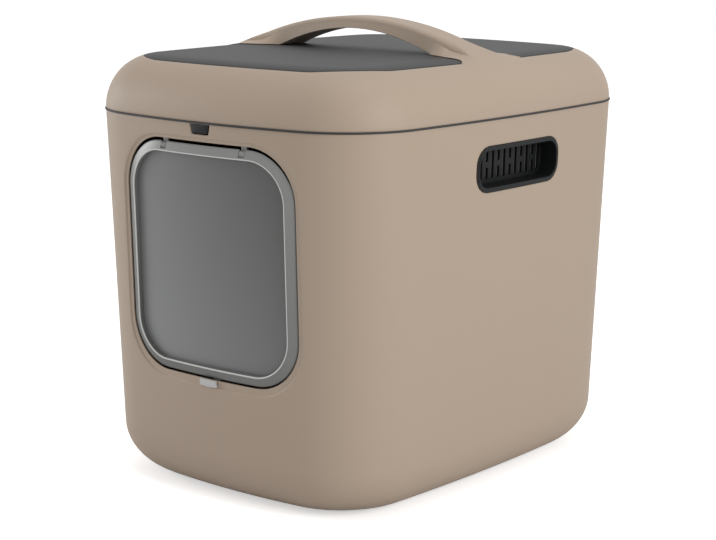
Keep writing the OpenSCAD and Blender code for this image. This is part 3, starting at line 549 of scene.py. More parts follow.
def notch_path(grow):
    """The notch's outline, from the rim down one side, along its bottom and up the other side:
    straight lines with cut lower corners."""
    top = LATCH_TOP_W / 2 + LATCH_GAP + grow
    low = LATCH_LOW_W / 2 + LATCH_GAP + grow
    bottom = LATCH_TOP - LATCH_H - LATCH_GAP - NOTCH_PLAY - grow
    down = np.linspace(0, 1, len(notch_rows))[:-1]
    left = np.column_stack([
        (top - low) * down - top,
        notch_rows[-1] + (bottom + NOTCH_CORNER - notch_rows[-1]) * down])
    across = np.linspace(-1, 1, len(notch_lines))
    cut = np.where(np.abs(across) == 1, NOTCH_CUT, 0)
    base = np.column_stack([(low - cut) * across, bottom + cut])
    return np.concatenate([left, base, left[::-1] * [-1, 1]])


def notch(face, chamfer):
    """The wall's face round the latch's notch, from its grid rectangle in to its chamfered edge,
    and the edge's way through to the inner face."""
    ends = np.ones(len(notch_rows) - 1)
    frame_points = np.column_stack([
        np.concatenate([ends * notch_lines[0], notch_lines, ends * notch_lines[-1]]),
        np.concatenate([
            notch_rows[:0:-1], np.full(len(notch_lines), notch_rows[0]), notch_rows[1:]])])
    outer = notch_path(NOTCH_CHAMFER)
    inner = notch_path(0)
    return skin([on_wall(0, *path.T, depth) for path, depth in (
        (frame_points, face), ((frame_points + outer) / 2, face), (outer, face),
        (inner, face + chamfer), (inner, WALL))], closed_ring=False)


def without_holes(rings):
    """The wall's quads, less the rectangles that the doorway, the notch and the grips fill."""
    points, faces = skin(rings)
    middle = points[faces].mean(1)
    x, y, z = middle.T
    on_front = (y < 0) & (np.abs(x) < FRONT_COLUMNS[-2]) & (np.abs(y) > 200)
    door = on_front & (z > door_rows[0]) & (z < door_rows[-1])
    top = on_front & (np.abs(x) < notch_lines[-1]) & (z > notch_rows[0])
    on_side = (np.abs(x) > 150) & (y > grip_lines[0]) & (y < grip_lines[-1])
    grip = on_side & (z > grip_rows[0]) & (z < grip_rows[-1])
    return points, faces[~(door | top | grip)]


outer_rings = wall_rings(0, 0, BASE_ROUND)
inner_rings = wall_rings(WALL, FLOOR_T, BASE_ROUND - WALL)
foot_drop = lean(0) + BASE_ROUND + FOOT_RING_W
foot_edge = wall_ring(foot_drop, 0, 0)
tub_parts = [
    without_holes(outer_rings),
    without_holes(inner_rings),
    skin([
        outer_rings[-1],
        wall_ring(lean(RIM_Z), 0.15, RIM_Z - 0.15),
        wall_ring(lean(RIM_Z), EDGE_R, RIM_Z),
        wall_ring(lean(RIM_Z), WALL - EDGE_R, RIM_Z),
        inner_rings[-1]]),
    skin([outer_rings[0], foot_edge, foot_edge + [0, 0, FOOT_RECESS]]),
    cap(foot_edge + [0, 0, FOOT_RECESS]),
    cap(inner_rings[0]),
    hole(0, front_lines, door_rows, doorway_outlines(), 0),
    hole(0, front_lines, door_rows, doorway_outlines()[-1:], WALL),
    notch(0, NOTCH_CHAMFER),
    notch(WALL, 0),
]
for mirror in (False, True):
    tub_parts.append(hole(1, grip_lines, grip_rows, grip_outlines(), 0, mirror))
    tub_parts.append(hole(1, grip_lines, grip_rows, grip_outlines()[-1:], WALL, mirror))

tub = build("tub", tub_parts, taupe_plastic)
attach(tub, "base")
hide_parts("base_tub")

# The tub's fittings ----------------------------------------------------------------------
# Moulded with the tub: the hinge knuckles on the back of the rim, the flats behind the front
# wall that the flap's lugs and the lock sit on.

HINGE_X = 105
KNUCKLE_R = 4.5
KNUCKLE_W = 14
EAR_W = 9
KNUCKLE_GAP = 0.4
HINGE_Y = BODY_D / 2 + 1.5
EAR_ROOT = 13
LUG_X = 53
LUG_PAD_W = 21
LUG_PAD_TOP = -11.9
LUG_PAD_LOW = -18.7
PAD_MARGIN = 1
PAD_SUNK = 2.4
LOCK_SEAT_X = (4.3, 14.2)
LOCK_SEAT_TOP = -259.6
LOCK_SEAT_LOW = -275.5
LOCK_SEAT_DEPTH = 3.5
LOCK_SEAT_SUNK = 1.6


def front_bow(x):
    """Depth of the front wall's arc behind its middle: the arc's sagitta at each x."""
    return FRONT_BOW_R - np.sqrt(FRONT_BOW_R**2 - np.asarray(x, float) ** 2)


def bar(profile, x0, x1):
    """A straight bar along x: a closed profile of (y, z) points carried from one end to the other,
    with both ends capped."""
    profile = np.asarray(profile, float)
    ends = [np.column_stack([np.full(len(profile), x), profile]) for x in (x0, x1)]
    return [skin(ends), cap(ends[0]), cap(ends[1])]


def leaned(points):
    """Points of the front wall's own frame, depth and height over the seam, as (y, z): turned by
    the wall's lean about the seam."""
    depth, height = np.asarray(points, float).T
    a = math.radians(LEAN_DEG)
    return np.column_stack([
        -BODY_D / 2 + depth * math.cos(a) - height * math.sin(a),
        SEAM_Z + depth * math.sin(a) + height * math.cos(a)])


def knuckle_profile(root, way):
    """A round end on the lid's hinge axis with an arm to the wall: an arc of a circle, joined to
    the root's points below it or, with way 1, above it."""
    a = np.radians(np.linspace(-130, 90, 25))
    arc = np.column_stack([HINGE_Y + KNUCKLE_R * np.cos(a), SEAM_Z + way * KNUCKLE_R * np.sin(a)])
    return np.concatenate([arc, root])


fitting_parts = []
for side in (-1, 1):
    for start in (side * HINGE_X - KNUCKLE_W / 2 - KNUCKLE_GAP - EAR_W,
                  side * HINGE_X + KNUCKLE_W / 2 + KNUCKLE_GAP):
        root_y = BODY_D / 2 - front_bow(start + EAR_W / 2) - WALL / 2
        root = [(root_y, SEAM_Z - EAR_ROOT), (root_y, RIM_Z - 0.4)]
        fitting_parts += bar(knuckle_profile(root, -1), start, start + EAR_W)
    pad_half = LUG_PAD_W / 2 + PAD_MARGIN
    pad_y = front_bow(LUG_X + pad_half) + WALL + 0.3
    pad = leaned([
        (pad_y - PAD_SUNK, LUG_PAD_TOP), (pad_y, LUG_PAD_TOP), (pad_y, LUG_PAD_LOW),
        (pad_y - PAD_SUNK, LUG_PAD_LOW)])
    fitting_parts += bar(pad, side * LUG_X - pad_half, side * LUG_X + pad_half)
    seat_sunk = LOCK_SEAT_DEPTH - LOCK_SEAT_SUNK
    seat = leaned([
        (seat_sunk, LOCK_SEAT_TOP), (LOCK_SEAT_DEPTH, LOCK_SEAT_TOP),
        (LOCK_SEAT_DEPTH, LOCK_SEAT_LOW), (seat_sunk, LOCK_SEAT_LOW)])
    fitting_parts += bar(seat, *sorted(side * x for x in LOCK_SEAT_X))
fittings = build("tub_fittings", fitting_parts, taupe_plastic)
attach(fittings, "base")

# The lid's outer frame -------------------------------------------------------------------
# One taupe moulding: a rounded shoulder all round, an opening for the dark panel, and the arched
# carry handle that grows out of both sides. It snaps onto the lid's dark inner part.

LID_Z = SEAM_Z + LIP_T / 2
SHOULDER_Z = LID_Z + 0.5
SHOULDER_R = 55
SHOULDER_DEG = 52
TOP_Z = SHOULDER_Z + SHOULDER_R
FRAME_T = 2.8
MARGIN_X = 36.4
MARGIN_Y = 35.3
PANEL_R = 70
EDGE_ROUND = 0.7
FOOT_X = BODY_W / 2 - MARGIN_X
HANDLE_RISE = 35.2
HANDLE_T = 12
HANDLE_TOP_R = 375
HANDLE_UNDER_R = 240
HANDLE_HALF = 20
HANDLE_FLARE = 22
FLARE_START = 0.57
FLARE_RUN = 0.37
TIP_POWER = 40
TOP_FLARE = 8
TOP_POWER = 10
TIP_R = 9
HANDLE_Y = 2
FOOT_SHIFT = 3
HANDLE_LEAN = 2.2
HANDLE_EDGE = 5
HANDLE_EDGE_GROWS = 9
HANDLE_END = BODY_W / 2 - 18
HANDLE_MERGE = 30
FOOT_RUN = 24
BUMP_INSIDE = 8
PANEL_CLEAR = 0.5
FOOT_DEPTH = 1.6
UNDER_EDGE = 0.4
BLEND_START = 142
BLEND_RUN = 18
SINK_START = 168
SINK_RUN = 8
LID_SIDE_COLUMNS = np.linspace(-172, 172, 115)

lid_corner, lid_a_side, lid_a_back = plan(BODY_W / 2, BODY_D / 2, CORNER_R)


def edge_distance(x, y):
    """How far plan points lie inside the lid's outline: the radius of the nearest arc less the
    distance from its centre."""
    px = np.abs(x)
    py = np.abs(y)
    bearing = np.arctan2(py - lid_corner[1], px - lid_corner[0])
    from_corner = CORNER_R - np.hypot(px - lid_corner[0], py - lid_corner[1])
    from_side = SIDE_BOW_R - np.hypot(px - (BODY_W / 2 - SIDE_BOW_R), py)
    from_back = FRONT_BOW_R - np.hypot(px, py - (BODY_D / 2 - FRONT_BOW_R))
    in_corner = (bearing > lid_a_side) & (bearing < lid_a_back)
    return np.where(in_corner, from_corner, np.minimum(from_side, from_back))


def dome(distance):
    """Height of the lid's skin at a distance from its edge: a quarter circle, then flat."""
    d = np.clip(distance, 0, SHOULDER_R)
    return SHOULDER_Z + np.sqrt(np.maximum(SHOULDER_R**2 - (SHOULDER_R - d) ** 2, 0))


def smooth_step(t):
    """Three t squared less two t cubed, held between 0 and 1."""
    u = np.clip(t, 0, 1)
    return u * u * (3 - 2 * u)


def foot_share(x):
    """How far a place is from the handle's middle to its foot, as a share of 1."""
    return np.minimum(np.abs(x) / FOOT_X, 1)


def low_half(x):
    """Half the handle's width at its lower edge: its own half, a smooth step's flare, and a high
    power of the share, which rounds the tip of the foot."""
    s = foot_share(x)
    flare = HANDLE_FLARE * smooth_step((s - FLARE_START) / FLARE_RUN)
    return HANDLE_HALF + flare + TIP_R * s**TIP_POWER


def top_half(x):
    """Half the handle's width at its upper edge: less the lean of its faces, plus a power of the
    share that flares only close to the foot."""
    return HANDLE_HALF - HANDLE_LEAN + (TOP_FLARE + HANDLE_LEAN) * foot_share(x) ** TOP_POWER


def handle_mid(x):
    """Middle of the handle's lower edges, further back at its feet by the cube of the share."""
    return HANDLE_Y + FOOT_SHIFT * foot_share(x) ** 3


def handle_height(x):
    """Height of the handle's top over the lid's skin along its middle: a parabola's arch, eased
    down to nothing on the lid's shoulder."""
    x = np.abs(x)
    arch = TOP_Z + HANDLE_RISE - x**2 / (2 * HANDLE_TOP_R)
    skin_z = dome(BODY_W / 2 - x)
    return (arch - skin_z) * (1 - smooth_step((x - HANDLE_END + HANDLE_MERGE) / HANDLE_MERGE))


def foot_bump(x, y):
    """What the handle's feet add to the lid's margin: the handle's height there, falling off
    smoothly to the front and back."""
    inside = low_half(x) - np.abs(y - handle_mid(x))
    return np.maximum(handle_height(x), 0) * smooth_step(inside / FOOT_RUN)


def lid_loop(inset_x, inset_y, r):
    """The lid's outline drawn in from the sides and the ends, with its own corner arc."""
    return loop(
        BODY_W / 2 - inset_x, BODY_D / 2 - inset_y, r, side_columns=LID_SIDE_COLUMNS)


def on_lid(points, drop=0, bump=True):
    """Lays plan points on the lid's skin, less a drop, on its margin with the handle's feet."""
    x, y = points.T
    z = dome(edge_distance(x, y)) - drop
    if bump:
        z = z + np.where(np.abs(x) > FOOT_X - BUMP_INSIDE, foot_bump(x, y), 0)
    return at_height(points, z)


def shoulder_loop(a, depth=0):
    """A ring of the shoulder at an angle round it, at a depth below its skin."""
    d = SHOULDER_R - (SHOULDER_R - depth) * math.cos(a)
    ring = at_height(lid_loop(d, d, CORNER_R - d), SHOULDER_Z + (SHOULDER_R - depth) * math.sin(a))
    if depth == 0:
        ring[:, 2] += foot_bump(ring[:, 0], ring[:, 1])
    return ring


def crown_loop(grow, drop=0, bump=False):
    """A ring of the lid's crown, at a distance inside the opening's outline, on the skin."""
    points = lid_loop(MARGIN_X + grow, MARGIN_Y + grow, PANEL_R - grow)
    return on_lid(points, drop, bump)


frame_rings = [
    at_height(lid_loop(FRAME_T, FRAME_T, CORNER_R - FRAME_T), LID_Z),
    at_height(lid_loop(0.5, 0.5, CORNER_R - 0.5), LID_Z),
    at_height(lid_loop(0.15, 0.15, CORNER_R - 0.15), LID_Z + 0.15),
    at_height(lid_loop(0, 0, CORNER_R), LID_Z + 0.5)]
frame_rings += [shoulder_loop(a) for a in np.radians(np.linspace(2, SHOULDER_DEG, 22))]
last = frame_rings[-1][:, :2]
opening_edge = lid_loop(MARGIN_X - EDGE_ROUND, MARGIN_Y - EDGE_ROUND, PANEL_R + EDGE_ROUND)
for t in (0.2, 0.4, 0.6, 0.8, 1):
    frame_rings.append(on_lid(last * (1 - t) + opening_edge * t))
for a in EDGE_ANGLES[1:]:
    frame_rings.append(crown_loop(
        -EDGE_ROUND * (1 - math.sin(a)), EDGE_ROUND * (1 - math.cos(a)), True))
frame_rings.append(crown_loop(0, FRAME_T))
frame_rings += [
    shoulder_loop(a, FRAME_T) for a in np.radians(np.linspace(SHOULDER_DEG, 0, 9))]


def handle_surface(x):
    """The handle's outlines at an array of places along it, anticlockwise seen from the right.
    Over the panel an outline has a leaning face, a rounded edge and a flat top, and nearer the foot
    it passes into the smooth bump of the lid's margin. Past the panel it lies just over the margin,
    then sinks into it."""
    reach = np.abs(x)[:, None]
    mid = handle_mid(x)[:, None]
    over_panel = reach <= FOOT_X
    base = dome(BODY_W / 2 - reach)
    arch = TOP_Z + HANDLE_RISE - HANDLE_T - reach**2 / (2 * HANDLE_UNDER_R)
    low = np.where(over_panel, np.maximum(arch, base + PANEL_CLEAR), base - FOOT_DEPTH)
    top = base + handle_height(x)[:, None]
    edge = np.minimum(
        HANDLE_EDGE + HANDLE_EDGE_GROWS * foot_share(reach) ** 5, (top - low) * 0.6)
    blend = smooth_step((reach - BLEND_START) / BLEND_RUN)
    lift = 0.05 - 0.4 * smooth_step((reach - SINK_START) / SINK_RUN)
    up = np.linspace(0, 1, 9)
    inwards = up[1:]
    a = np.radians(np.linspace(0, 90, 10)[1:])
    sides = []
    for sign in (-1, 1):
        low_y = mid + sign * low_half(x)[:, None]
        top_y = HANDLE_Y + sign * top_half(x)[:, None]
        edge_y = top_y - sign * edge * (1 - np.cos(a))
        y = np.hstack([
            low_y + (top_y - low_y) * up, edge_y,
            edge_y[:, -1:] * (1 - inwards) + (HANDLE_Y + mid) / 2 * inwards])
        z = np.hstack([
            low + 0.5 + (top - edge - low - 0.5) * up, top - edge * (1 - np.sin(a)),
            np.repeat(top, len(inwards), axis=1)])
        across = np.broadcast_to(x[:, None], y.shape)
        z = z * (1 - blend) + (dome(edge_distance(across, y)) + foot_bump(across, y) + lift) * blend
        z[:, :1] = np.where(over_panel, np.maximum(z[:, :1], low + 0.3), low)
        sides.append(np.stack([across, y, z], -1))
    front, rear = sides
    under_y = np.hstack([front[:, 0, 1:2] + UNDER_EDGE, mid, rear[:, 0, 1:2] - UNDER_EDGE])
    under = np.stack([
        np.broadcast_to(x[:, None], under_y.shape), under_y,
        np.broadcast_to(low, under_y.shape)], -1)
    return np.concatenate([rear, front[:, -2::-1], under], axis=1)


stations = np.concatenate([
    np.linspace(0, 100, 34), np.linspace(102, 140, 20), np.linspace(141.5, 160, 14),
    [161, 161.8, 162.5, 163.1, FOOT_X, FOOT_X + 0.05], np.linspace(164.5, 178, 14)])
stations = np.concatenate([-stations[:0:-1], stations])
handle_rings = handle_surface(stations)
lid_frame = build(
    "lid_frame_shell", [skin(frame_rings, closed_rows=True)], taupe_plastic)
handle = build(
    "carry_handle", [skin(handle_rings), cap(handle_rings[0]), cap(handle_rings[-1])],
    taupe_plastic, 40)
for piece in (lid_frame, handle):
    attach(piece, "lid")
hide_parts("lid_frame")

# The lid's inner part --------------------------------------------------------------------
# One matt anthracite moulding under the frame: the flush top panel, the thin lip that shows as a
# dark line at the seam, a skirt that drops into the tub, and the hinge's middle knuckles.

ANTHRACITE = (0.032, 0.032, 0.033, 1)
PANEL_GAP = 1
PANEL_EDGE = 0.6
INNER_T = 2.4
INNER_DEPTH = FRAME_T + 0.4
LIP_PROUD = 1
SKIRT_INSET = 4.6
SKIRT_LOW = RIM_Z - 8
ARM_H = 6
ARM_SUNK = 2.2


def level_loop(inset, z):
    """A level ring at an inset from the lid's outline, with a corner arc of the same centre."""
    return at_height(lid_loop(inset, inset, CORNER_R - inset), z)


inner_rings = [crown_loop(grow) for grow in (44, 34, 24, 14, 8, 4)]
for a in EDGE_ANGLES[::-1]:
    inner_rings.append(crown_loop(
        PANEL_GAP + PANEL_EDGE * (1 - math.cos(a)), PANEL_EDGE * (1 - math.sin(a))))
inner_rings.append(crown_loop(PANEL_GAP, INNER_DEPTH))
inner_rings += [
    shoulder_loop(a, INNER_DEPTH) for a in np.radians(np.linspace(SHOULDER_DEG, 0, 9))]
skirt_back = SKIRT_INSET + INNER_T
inner_rings += [level_loop(inset, z) for inset, z in (
    (INNER_DEPTH, LID_Z), (0.25 - LIP_PROUD, LID_Z), (-LIP_PROUD, LID_Z - 0.25),
    (-LIP_PROUD, RIM_Z + 0.25), (0.25 - LIP_PROUD, RIM_Z), (SKIRT_INSET, RIM_Z),
    (SKIRT_INSET, SKIRT_LOW + 0.5), (SKIRT_INSET + 0.5, SKIRT_LOW), (skirt_back - 0.5, SKIRT_LOW),
    (skirt_back, SKIRT_LOW + 0.5))]
inner_rings += [
    shoulder_loop(a, INNER_DEPTH + INNER_T)
    for a in np.radians(np.linspace(0, SHOULDER_DEG, 9))]
inner_rings += [crown_loop(grow, INNER_T) for grow in (9, 20, 44)]
inner_parts = [skin(inner_rings), cap(inner_rings[0]), cap(inner_rings[-1])]
arm_root_y = BODY_D / 2 - front_bow(HINGE_X) - INNER_DEPTH - ARM_SUNK
arm_root = [
    (HINGE_Y - KNUCKLE_R, LID_Z + ARM_H), (arm_root_y, LID_Z + ARM_H),
    (arm_root_y, LID_Z - LIP_T), (HINGE_Y - KNUCKLE_R + 0.6, LID_Z - LIP_T)]
for side in (-1, 1):
    middle = side * HINGE_X
    inner_parts += bar(
        knuckle_profile(arm_root, 1), middle - KNUCKLE_W / 2, middle + KNUCKLE_W / 2)
panel_plastic = moulded_plastic("anthracite plastic", ANTHRACITE, 0.6, 0.00003, 0.28)
lid_inner = build("lid_inner_shell", inner_parts, panel_plastic)
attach(lid_inner, "lid")
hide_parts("lid_inner")

# The latch -------------------------------------------------------------------------------
# A small near-black moulding in the front notch: a tapered tab with softened edges, wings and a
# lever behind the wall, and a barrel that turns on a steel pin in the lid.

NEAR_BLACK = (0.006, 0.0065, 0.007, 1)
LATCH_ROUND = 0.9
LATCH_STRIP = 2
WING_W = 31.8
WING_T = 2.4
LATCH_PIN_Y = -BODY_D / 2 + 8
LATCH_PIN_Z = LID_Z + 7.5
BARREL_R = 2.6


def slab(outline, y0, y1, edge):
    """A plate along y with a rim rounded by a quarter circle: outline(inset) gives its (x, z)
    outline, drawn in by up to the edge's radius at the front and the back."""
    rings = []
    for y, way in ((y0, 1), (y1, -1)):
        for a in EDGE_ANGLES[::-way]:
            points = outline(edge * (1 - math.cos(a)) if edge else 0)
            depth = y + way * edge * (1 - math.sin(a))
            rings.append(np.column_stack([points[:, 0], np.full(len(points), depth), points[:, 1]]))
    return [skin(rings), cap(rings[0]), cap(rings[-1])]


def rounded(w, h, r, mid_x, mid_z, count=10):
    """An outline function for a rounded rectangle round a middle, for use with slab."""
    shares = np.arange(4 * count) / count

    def outline(inset):
        """The rectangle drawn in by the inset, its corners with it."""
        reach = max(r - inset, 0.05)
        return rounded_side_points(w - 2 * inset, h - 2 * inset, reach, shares) + [mid_x, mid_z]

    return outline


def latch_tab(inset):
    """The tab's outline: a rounded rectangle that grows wider from its foot to its top, in
    proportion to the height of a narrow strip's points with the same rounding."""
    wide = rounded(LATCH_LOW_W, LATCH_H, LATCH_ROUND, 0, 0)(inset)
    narrow = rounded(LATCH_STRIP, LATCH_H, LATCH_ROUND, 0, 0)(inset)
    wider = 1 + (LATCH_TOP_W / LATCH_LOW_W - 1) * (narrow[:, 1] / LATCH_H + 0.5)
    return np.column_stack([wide[:, 0] * wider, wide[:, 1] + LATCH_TOP - LATCH_H / 2])


latch_front = -BODY_D / 2 + lean(LATCH_TOP) + 0.1
plate_front = -BODY_D / 2 + lean(LATCH_TOP - LATCH_H) + WALL + 0.6
latch_parts = slab(latch_tab, latch_front, -BODY_D / 2 + WALL + 1, 0.5)
latch_parts += slab(
    rounded(WING_W, LATCH_H, 0.8, 0, LATCH_TOP - LATCH_H / 2),
    plate_front, plate_front + WING_T, 0.3)
lever_low = LATCH_TOP - LATCH_H
latch_parts += slab(
    rounded(LATCH_TOP_W - 0.8, LATCH_PIN_Z - lever_low, 0.4, 0, (LATCH_PIN_Z + lever_low) / 2),
    plate_front, plate_front + WING_T, 0.2)
barrel_angles = np.radians(np.arange(0, 360, 10))
barrel = np.column_stack([
    LATCH_PIN_Y + BARREL_R * np.cos(barrel_angles), LATCH_PIN_Z + BARREL_R * np.sin(barrel_angles)])
latch_parts += bar(barrel, -(LATCH_TOP_W - 0.8) / 2, (LATCH_TOP_W - 0.8) / 2)
black_plastic = moulded_plastic("near-black plastic", NEAR_BLACK, 0.45, 0.00002, 0.22)
latch = build("latch_tab", latch_parts, black_plastic)
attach(latch, "latch")
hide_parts("lid_latch")

# The flap's rim --------------------------------------------------------------------------
# A grey translucent ring, bent to the wall's bow: its face slopes up from the rounded outer edge to
# a narrow crest round the window, whose paler grey is a painted highlight. The ring's colour has
# painted shade, darker towards the lower left. Its top has slots for the lugs.

PALE_GREY = (0.21, 0.213, 0.205, 1)
# The deep grey is painted shade: the rim's pale grey is mixed towards it, darker towards the lower
# left along the fall's direction.
RIM_PAINTED_SHADE = (0.085, 0.087, 0.083, 1)
# The edge grey is a painted highlight: the crest is coloured paler so that it looks lit.
CREST_PAINTED_HIGHLIGHT = (0.5, 0.5, 0.48, 1)
RIM_SHADE_FALL = (-2.08, 0, -2.36)
RIM_SHADE_START = 1.082
WINDOW_SET = 5
REBATE = 7.4
LUG_W = 7
LUG_GAP = 0.4
LUG_SLOT = 2.6
ARM_SLOT = 3.5
SLANT_START = 1.8
SLANT_RISE = 6.9 / 6.2
LUG_ROUND = 4.1
AXIS_DROP = 5.5
AXIS_DEPTH = 3.9


def front_frame(points):
    """Points of the front wall's own frame (x, depth, height over the seam) in the body's."""
    points = np.asarray(points, float)
    return np.column_stack([points[:, 0], leaned(points[:, 1:])])


def rim_path():
    """Columns round the flap: the corner arcs' centres and points between them, the outward
    direction at each, and whether a lug's slot is there. A slot's sides stand a millionth of the
    straight's length from the next column, so they are square."""
    half_x = FLAP_W / 2 - FLAP_R
    half_z = FLAP_H / 2 - FLAP_R
    slot_w = LUG_W + 2 * LUG_GAP

    def straight(start, end, way, slots=()):
        """Columns at even shares of a straight between two arcs' centres, and at its slots."""
        t = np.linspace(0, 1, 17)[1:-1]
        cut = np.zeros(len(t))
        length = math.dist(start, end)
        for place in slots:
            near, far = (place - slot_w / 2) / length, (place + slot_w / 2) / length
            clear = (t <= near - 0.005) | (t >= far + 0.005)
            t = np.concatenate([t[clear], [near, near + 1e-6, (near + far) / 2, far - 1e-6, far]])
            cut = np.concatenate([cut[clear], [0, 1, 1, 1, 0]])
        order = np.argsort(t)
        places = np.add(start, np.outer(t[order], np.subtract(end, start)))
        return np.column_stack([places, np.tile(way, (len(t), 1)), cut[order]])

    def corner(x, z, first):
        """Columns at even angles round an arc's centre."""
        a = np.radians(np.linspace(first, first + 90, 25))
        return np.column_stack([
            np.full(len(a), x), np.full(len(a), z), np.cos(a), np.sin(a), np.zeros(len(a))])

    return np.concatenate([
        corner(half_x, half_z, 0),
        straight((half_x, half_z), (-half_x, half_z), (0, 1), (half_x - LUG_X, half_x + LUG_X)),
        corner(-half_x, half_z, 90),
        straight((-half_x, half_z), (-half_x, -half_z), (-1, 0)),
        corner(-half_x, -half_z, 180),
        straight((-half_x, -half_z), (half_x, -half_z), (0, -1)),
        corner(half_x, -half_z, 270),
        straight((half_x, -half_z), (half_x, half_z), (1, 0))])


path = rim_path()


def rim_loop(inset, out):
    """A ring round the flap at a distance inside its edge and out of the wall's face. A slot cuts
    it to below the lug's axis, round the axis by the circle's equation, and deeper behind the axis,
    where the lug's arm stands when the flap is swung in. Along the top and the upper corners the
    back edge slants, an inset in proportion to the depth, which clears the wall as it turns."""
    round_cut = math.sqrt(max(LUG_ROUND**2 - (AXIS_DEPTH + out) ** 2, 0))
    slot = AXIS_DROP + max(LUG_SLOT if out > -AXIS_DEPTH else ARM_SLOT, round_cut)
    slant = (-out - SLANT_START) * SLANT_RISE * smooth_step((path[:, 3] - 0.3) / 0.45)
    reach = FLAP_R - np.maximum(np.maximum(inset, slant), path[:, 4] * slot)
    x = path[:, 0] + path[:, 2] * reach
    z = path[:, 1] + path[:, 3] * reach
    return front_frame(np.column_stack([x, front_bow(x) - out, z + FLAP_MID_Z]))


def paint_shade_fall(material, pale, dark, fall, start):
    """Paints shade into a plastic's colour: its tone darkens evenly across the piece, standing in
    for light that falls off inside a translucent sheet. The share of the dark tone, the painted
    shade, is the dot product of the place with the direction of the fall, plus a start, held
    between 0 and 1."""
    tree = material.node_tree
    place = tree.nodes.new("ShaderNodeTexCoord")
    along = tree.nodes.new("ShaderNodeVectorMath")
    along.operation = "DOT_PRODUCT"
    along.inputs[1].default_value = fall
    share = tree.nodes.new("ShaderNodeMath")
    share.operation = "ADD"
    share.use_clamp = True
    share.inputs[1].default_value = start
    tone = tree.nodes.new("ShaderNodeMix")
    tone.data_type = "RGBA"
    tone.inputs["A"].default_value = pale
    tone.inputs["B"].default_value = dark
    tree.links.new(place.outputs["Object"], along.inputs[0])
    tree.links.new(along.outputs["Value"], share.inputs[0])
    tree.links.new(share.outputs[0], tone.inputs["Factor"])
    tree.links.new(tone.outputs["Result"], tree.nodes["Principled BSDF"].inputs["Base Color"])


RIM_SECTION = (
    (9.6, 0.98), (9.3, 0.9), (8.6, 0.7), (6, 0), (3.6, -0.75), (2.4, -1.25), (1.4, -1.8),
    (0.7, -2.5), (0.25, -3.4), (0, -4.6), (0, -7.4), (0.15, -7.85), (0.6, -8), (7.4, -8),
    (7.4, -4.9), (11, -4.9), (11, -3.4), (11, -1.8), (11, 0.1))
RIM_CREST = ((11, 0.1), (10.94, 0.5), (10.8, 0.8), (10.5, 0.97), (10.2, 1), (9.9, 1), (9.6, 0.98))
rim_plastic_painted_shade = moulded_plastic("grey translucent plastic with painted shade", PALE_GREY, 0.34, 0.00001, 0.5)
# Painted shade on the rim: its colour darkens towards the lower left.
paint_shade_fall(rim_plastic_painted_shade, PALE_GREY, RIM_PAINTED_SHADE, RIM_SHADE_FALL, RIM_SHADE_START)
# Painted highlight on the rim's crest: a paler grey for the faces along it.
crest_painted_highlight_plastic = moulded_plastic("grey translucent edge with painted highlight", CREST_PAINTED_HIGHLIGHT, 0.3, 0.000005, 0.5)
flap_rim = build(
    "flap_rim_ring", [skin([rim_loop(*place) for place in RIM_SECTION])], rim_plastic_painted_shade, 40,
    [skin([rim_loop(*place) for place in RIM_CREST])], crest_painted_highlight_plastic)
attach(flap_rim, "flap")
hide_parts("flap_rim")

# The flap's window -----------------------------------------------------------------------
# A thin smoke-grey sheet set in the rim's rebate, bent to the same bow, with a satin face. Its
# colour has painted shade, darker towards the upper right, for the dark inside that shows through
# the translucent sheet.

SMOKE_PALE = (0.183, 0.185, 0.187, 1)
# The dark smoke tone is painted shade, mixed in towards the upper right.
SMOKE_PAINTED_SHADE = (0.071, 0.071, 0.069, 1)
SMOKE_SHADE_FALL = (3.3, 0, 2.1)
SMOKE_SHADE_START = -0.11
WINDOW_T = 2.4
WINDOW_EDGE = REBATE + 0.3
WINDOW_NOTCH = 10.4


def window_loop(share, out):
    """A ring of the sheet: its outline, notched where the lugs are, shrunk by a share, with the
    depth of the wall's bow."""
    cut = path[:, 4] if share == 1 else 0
    reach = FLAP_R - np.maximum(WINDOW_EDGE, cut * WINDOW_NOTCH)
    x = (path[:, 0] + path[:, 2] * reach) * share
    z = (path[:, 1] + path[:, 3] * reach) * share
    return front_frame(np.column_stack([x, front_bow(x) - out, z + FLAP_MID_Z]))


window_rings = [window_loop(share, -WINDOW_SET) for share in (0.04, 0.2, 0.4, 0.6, 0.8, 0.95, 1)]
window_rings += [
    window_loop(share, -WINDOW_SET - WINDOW_T) for share in (1, 0.8, 0.6, 0.4, 0.2, 0.04)]
smoke_plastic_painted_shade = moulded_plastic("smoke grey plastic with painted shade", SMOKE_PALE, 0.36, 0.000004, 0.5)
# Painted shade on the window: its colour darkens towards the upper right.
paint_shade_fall(smoke_plastic_painted_shade, SMOKE_PALE, SMOKE_PAINTED_SHADE, SMOKE_SHADE_FALL, SMOKE_SHADE_START)
window = build(
    "flap_window_sheet", [skin(window_rings), cap(window_rings[0]), cap(window_rings[-1])],
    smoke_plastic_painted_shade)
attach(window, "flap")
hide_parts("flap_window")

# The flap's lock -------------------------------------------------------------------------
# An off-white slide in the doorway's lower edge: a finger plate outside, a stem through the wall,
# and a tongue inside. Slid up, plate and tongue hold the flap's lower bar between them.

OFF_WHITE = (0.42, 0.415, 0.41, 1)
FLAP_LOW = -FLAP_DROP - FLAP_H
LOCK_W = 22.4
LOCK_TOP = FLAP_LOW - 1
LOCK_H = 7.2
STEM_TOP = FLAP_LOW - 5.3
STEM_H = 4
STEM_W = 8
TONGUE_TOP = FLAP_LOW - FLAP_GAP
PLATE_LOW = STEM_TOP - STEM_H - 5
TONGUE_DEPTH = 11.3
TONGUE_T = 2.4


def front_slab(w, z0, z1, y0, y1, r, edge):
    """A softened plate in the front wall's own frame, across the middle."""
    parts = slab(rounded(w, z1 - z0, r, 0, (z0 + z1) / 2), y0, y1, edge)
    return [(front_frame(points), faces) for points, faces in parts]


